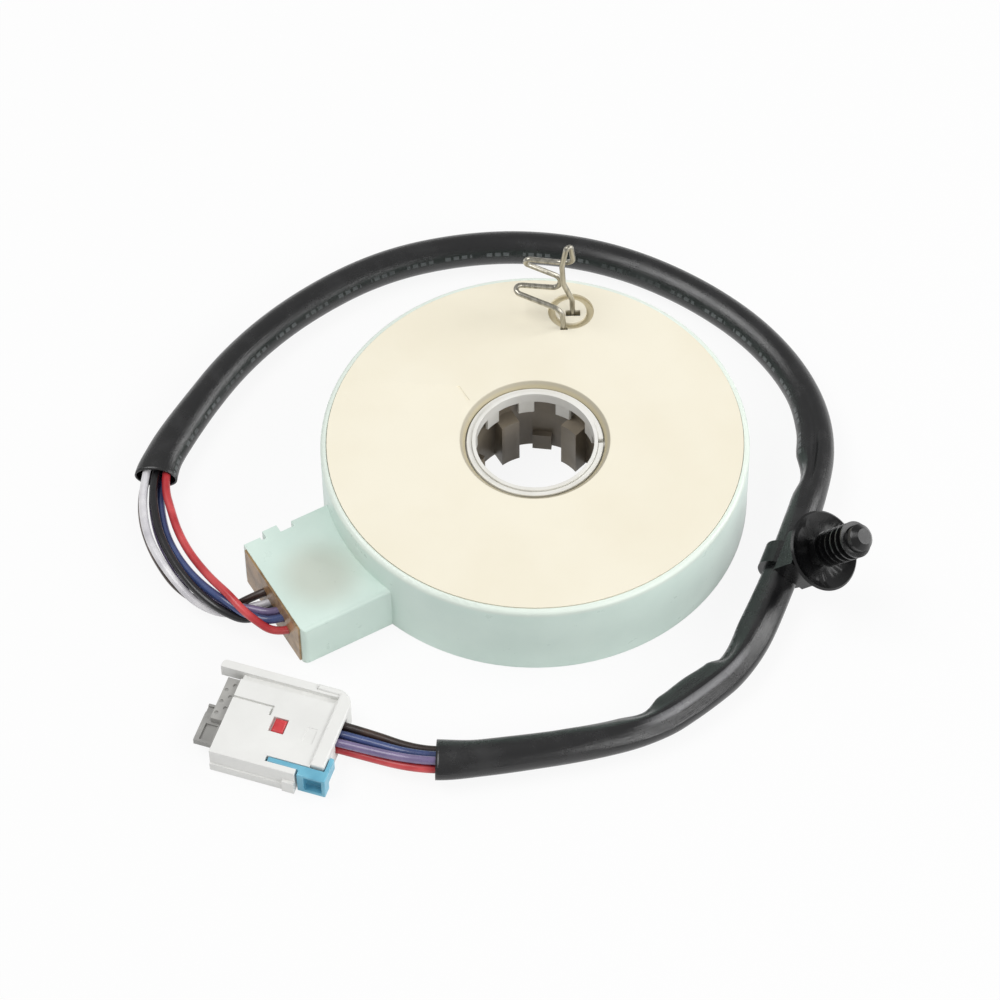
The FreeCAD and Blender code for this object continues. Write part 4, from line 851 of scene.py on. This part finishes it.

# %% [markdown]
# The sleeve is black vinyl with a soft long highlight. Its surface shows faint draw lines along its length,
# and the real one carries a print, which is left off here: plain dashes stand in its place.
# Along the ridge of the lower fold a painted highlight lightens the vinyl's colour.
# The tube's own UV map gives centimetres along and turns around, so both follow the tube.

# %% Sleeve vinyl
# Dashes: groups and dashes to the centimetre, the filled share of each, their row and its half width
groups_per_cm, group_filled = 1.15, 0.7
dashes_per_cm, dash_filled = 5.4, 0.66
dash_row, dash_half_width = 0.18, 0.018

# Painted highlight on the fold: start and end as shares of the length, its row, and its soft ends in
# centimetres
highlight_span, highlight_row, highlight_ease = (0.78, 0.875), 0.945, 0.6


def steps(tree, value, rate, filled):
    """A mask that is 1 over the filled share of each repeat."""
    return math_node(tree, "LESS_THAN", math_node(tree, "FRACT", product(tree, value, rate)), filled)


def off_row(tree, turns, row):
    """How far a place lies from a row along the tube, in turns."""
    return math_node(tree, "ABSOLUTE", math_node(tree, "SUBTRACT", turns, row))


def build_vinyl():
    """Glossy black vinyl with draw lines, scuffs, a row of plain dashes and a painted fold highlight."""
    material, tree, shader, place = blank_material("sleeve_vinyl")
    black, scuffed = srgb(19, 19, 20), srgb(31, 31, 32)
    dash_grey, painted_highlight = srgb(112, 114, 116), srgb(116, 116, 118)
    uv = tree.nodes.new("ShaderNodeUVMap")
    uv.uv_map = "along"
    split = tree.nodes.new("ShaderNodeSeparateXYZ")
    tree.links.new(uv.outputs["UV"], split.inputs["Vector"])
    along, turns = split.outputs["X"], split.outputs["Y"]
    scuff = ramp(tree, noise(tree, place, 130.0, detail=5.0, roughness=0.65), low=0.42, high=0.75)
    colour = mix_colour(tree, scuff, black, scuffed)
    groups = steps(tree, along, groups_per_cm, group_filled)
    dashes = steps(tree, along, dashes_per_cm, dash_filled)
    row = math_node(tree, "LESS_THAN", off_row(tree, turns, dash_row), dash_half_width)
    worn = ramp(tree, noise(tree, place, 60.0, detail=2.0), low=0.2, high=0.6)
    colour = mix_colour(tree, product(tree, groups, dashes, row, worn, 0.55), colour, dash_grey)
    # Painted highlight: a pale strip is mixed into the colour along the lower fold's ridge
    start, end = (sleeve_length / MM / mm_per_uv * share for share in highlight_span)
    from_start = ramp(tree, along, start, start + highlight_ease)
    to_end = ramp(tree, along, end, end - highlight_ease)
    ridge_highlight = ramp(tree, off_row(tree, turns, highlight_row), low=0.05, high=0.015)
    colour = mix_colour(tree, product(tree, from_start, to_end, ridge_highlight, 0.85), colour, painted_highlight)
    tree.links.new(colour, shader.inputs["Base Color"])
    gloss = math_node(tree, "ADD", product(tree, scuff, 0.1), 0.24)
    tree.links.new(gloss, shader.inputs["Roughness"])
    lines = noise(tree, stretched(tree, uv.outputs["UV"], (0.6, 40.0, 1.0)), 3.0)
    normal = bumped(tree, lines, distance=0.00015, strength=0.35)
    tree.links.new(normal, shader.inputs["Normal"])
    shader.inputs["Specular IOR Level"].default_value = 0.72
    return material


sleeve_vinyl = build_vinyl()
sleeve_tube.data.materials.append(sleeve_vinyl)
print("vinyl nodes:", len(sleeve_vinyl.node_tree.nodes))

# %% [markdown]
# A CAD node or a softened copy takes its finish from the record's material slot,
# so one table from slot to material dresses everything at once.

# %% Dress the nodes
finishes = {
    **plastics,
    "connector_plastic": plastics["plug_plastic"],
    "spring_steel": spring_steel,
    "contact_brass": contact_brass,
    "circuit_board": circuit_board,
    "ribbon_film": ribbon_film,
    "potting_resin": cast_resin,
    "sleeve_vinyl": sleeve_vinyl,
}
for colour in wires:
    finishes[f"wire_{colour}"] = insulation[f"insulation_{colour}"]
for pieces in (nodes, softened_pieces):
    for node, piece in pieces.items():
        piece.data.materials.clear()
        piece.data.materials.append(finishes[slot_of[node]])
print("dressed nodes:", len(nodes), "and softened copies:", len(softened_pieces))

# %% [markdown]
# A product photograph on white has soft, even light. Large area lamps at a plain level give that.
# The floor is pale, so it keeps the object's soft shadow, and what the camera sees of it is lifted to white
# with Light Path, which adds no light to the object itself.

# %% Floor and surroundings
floor_reach, floor_drop = 3.0, 0.0002
floor_grey, floor_lift = (0.8, 0.8, 0.8, 1.0), 0.9
fill_level = 0.42


def seen_mask(tree, outputs):
    """A mask that is 1 for rays of the named kinds."""
    path = tree.nodes.new("ShaderNodeLightPath")
    seen = path.outputs[outputs[0]]
    for output in outputs[1:]:
        seen = math_node(tree, "MAXIMUM", seen, path.outputs[output])
    return seen


def build_floor():
    """A wide pale floor under the object."""
    bm = bmesh.new()
    bmesh.ops.create_grid(bm, x_segments=1, y_segments=1, size=floor_reach)
    mesh = bpy.data.meshes.new("studio_floor")
    bm.to_mesh(mesh)
    bm.free()
    floor = new_object("studio_floor", mesh)
    floor.location.z = -floor_drop
    material = bpy.data.materials.new("studio_white")
    material.use_nodes = True
    tree = material.node_tree
    tree.nodes.clear()
    output = tree.nodes.new("ShaderNodeOutputMaterial")
    diffuse = tree.nodes.new("ShaderNodeBsdfDiffuse")
    diffuse.inputs["Color"].default_value = floor_grey
    glow = tree.nodes.new("ShaderNodeEmission")
    glow.inputs["Strength"].default_value = 1.0
    seen = seen_mask(tree, ("Is Camera Ray", "Is Glossy Ray", "Is Transmission Ray"))
    blend = tree.nodes.new("ShaderNodeMixShader")
    tree.links.new(product(tree, seen, floor_lift), blend.inputs["Fac"])
    tree.links.new(diffuse.outputs["BSDF"], blend.inputs[1])
    tree.links.new(glow.outputs["Emission"], blend.inputs[2])
    tree.links.new(blend.outputs["Shader"], output.inputs["Surface"])
    mesh.materials.append(material)
    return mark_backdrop(floor)


def build_world():
    """Even grey light from all round, and plain white where the camera looks past the floor."""
    world = bpy.data.worlds.new("studio")
    world.use_nodes = True
    tree = world.node_tree
    background = tree.nodes["Background"]
    background.inputs["Color"].default_value = (1.0, 1.0, 1.0, 1.0)
    lifted = product(tree, seen_mask(tree, ("Is Camera Ray", "Is Transmission Ray")), 1.0 - fill_level)
    tree.links.new(math_node(tree, "ADD", lifted, fill_level), background.inputs["Strength"])
    bpy.context.scene.world = world


build_floor()
build_world()
print("floor reaches", floor_reach, "m, light from all round at", fill_level)

# %% Lamps
# Place in metres, width and height in metres, power in watts; each faces the origin
lamps = {
    "key_lamp": ((-0.5, 0.35, 1.1), (0.9, 0.6), 7.0),
    "side_lamp": ((0.9, -0.3, 0.5), (0.5, 0.7), 4.3),
    "front_lamp": ((0.3, -1.0, 0.55), (0.9, 0.4), 4.6),
}
for name, (place, (width, height), power) in lamps.items():
    lamp_data = bpy.data.lights.new(name, "AREA")
    lamp_data.shape = "RECTANGLE"
    lamp_data.size = width
    lamp_data.size_y = height
    lamp_data.energy = power
    lamp = new_object(name, lamp_data)
    facing = Vector(place).to_track_quat("Z", "Y").to_matrix().to_4x4()
    lamp.matrix_world = Matrix.Translation(place) @ facing
print("lamps:", len(lamps))

# %% [markdown]
# The view settings stay plain, so colours render about as they are written.

# %% View
bpy.context.scene.view_settings.view_transform = "Standard"
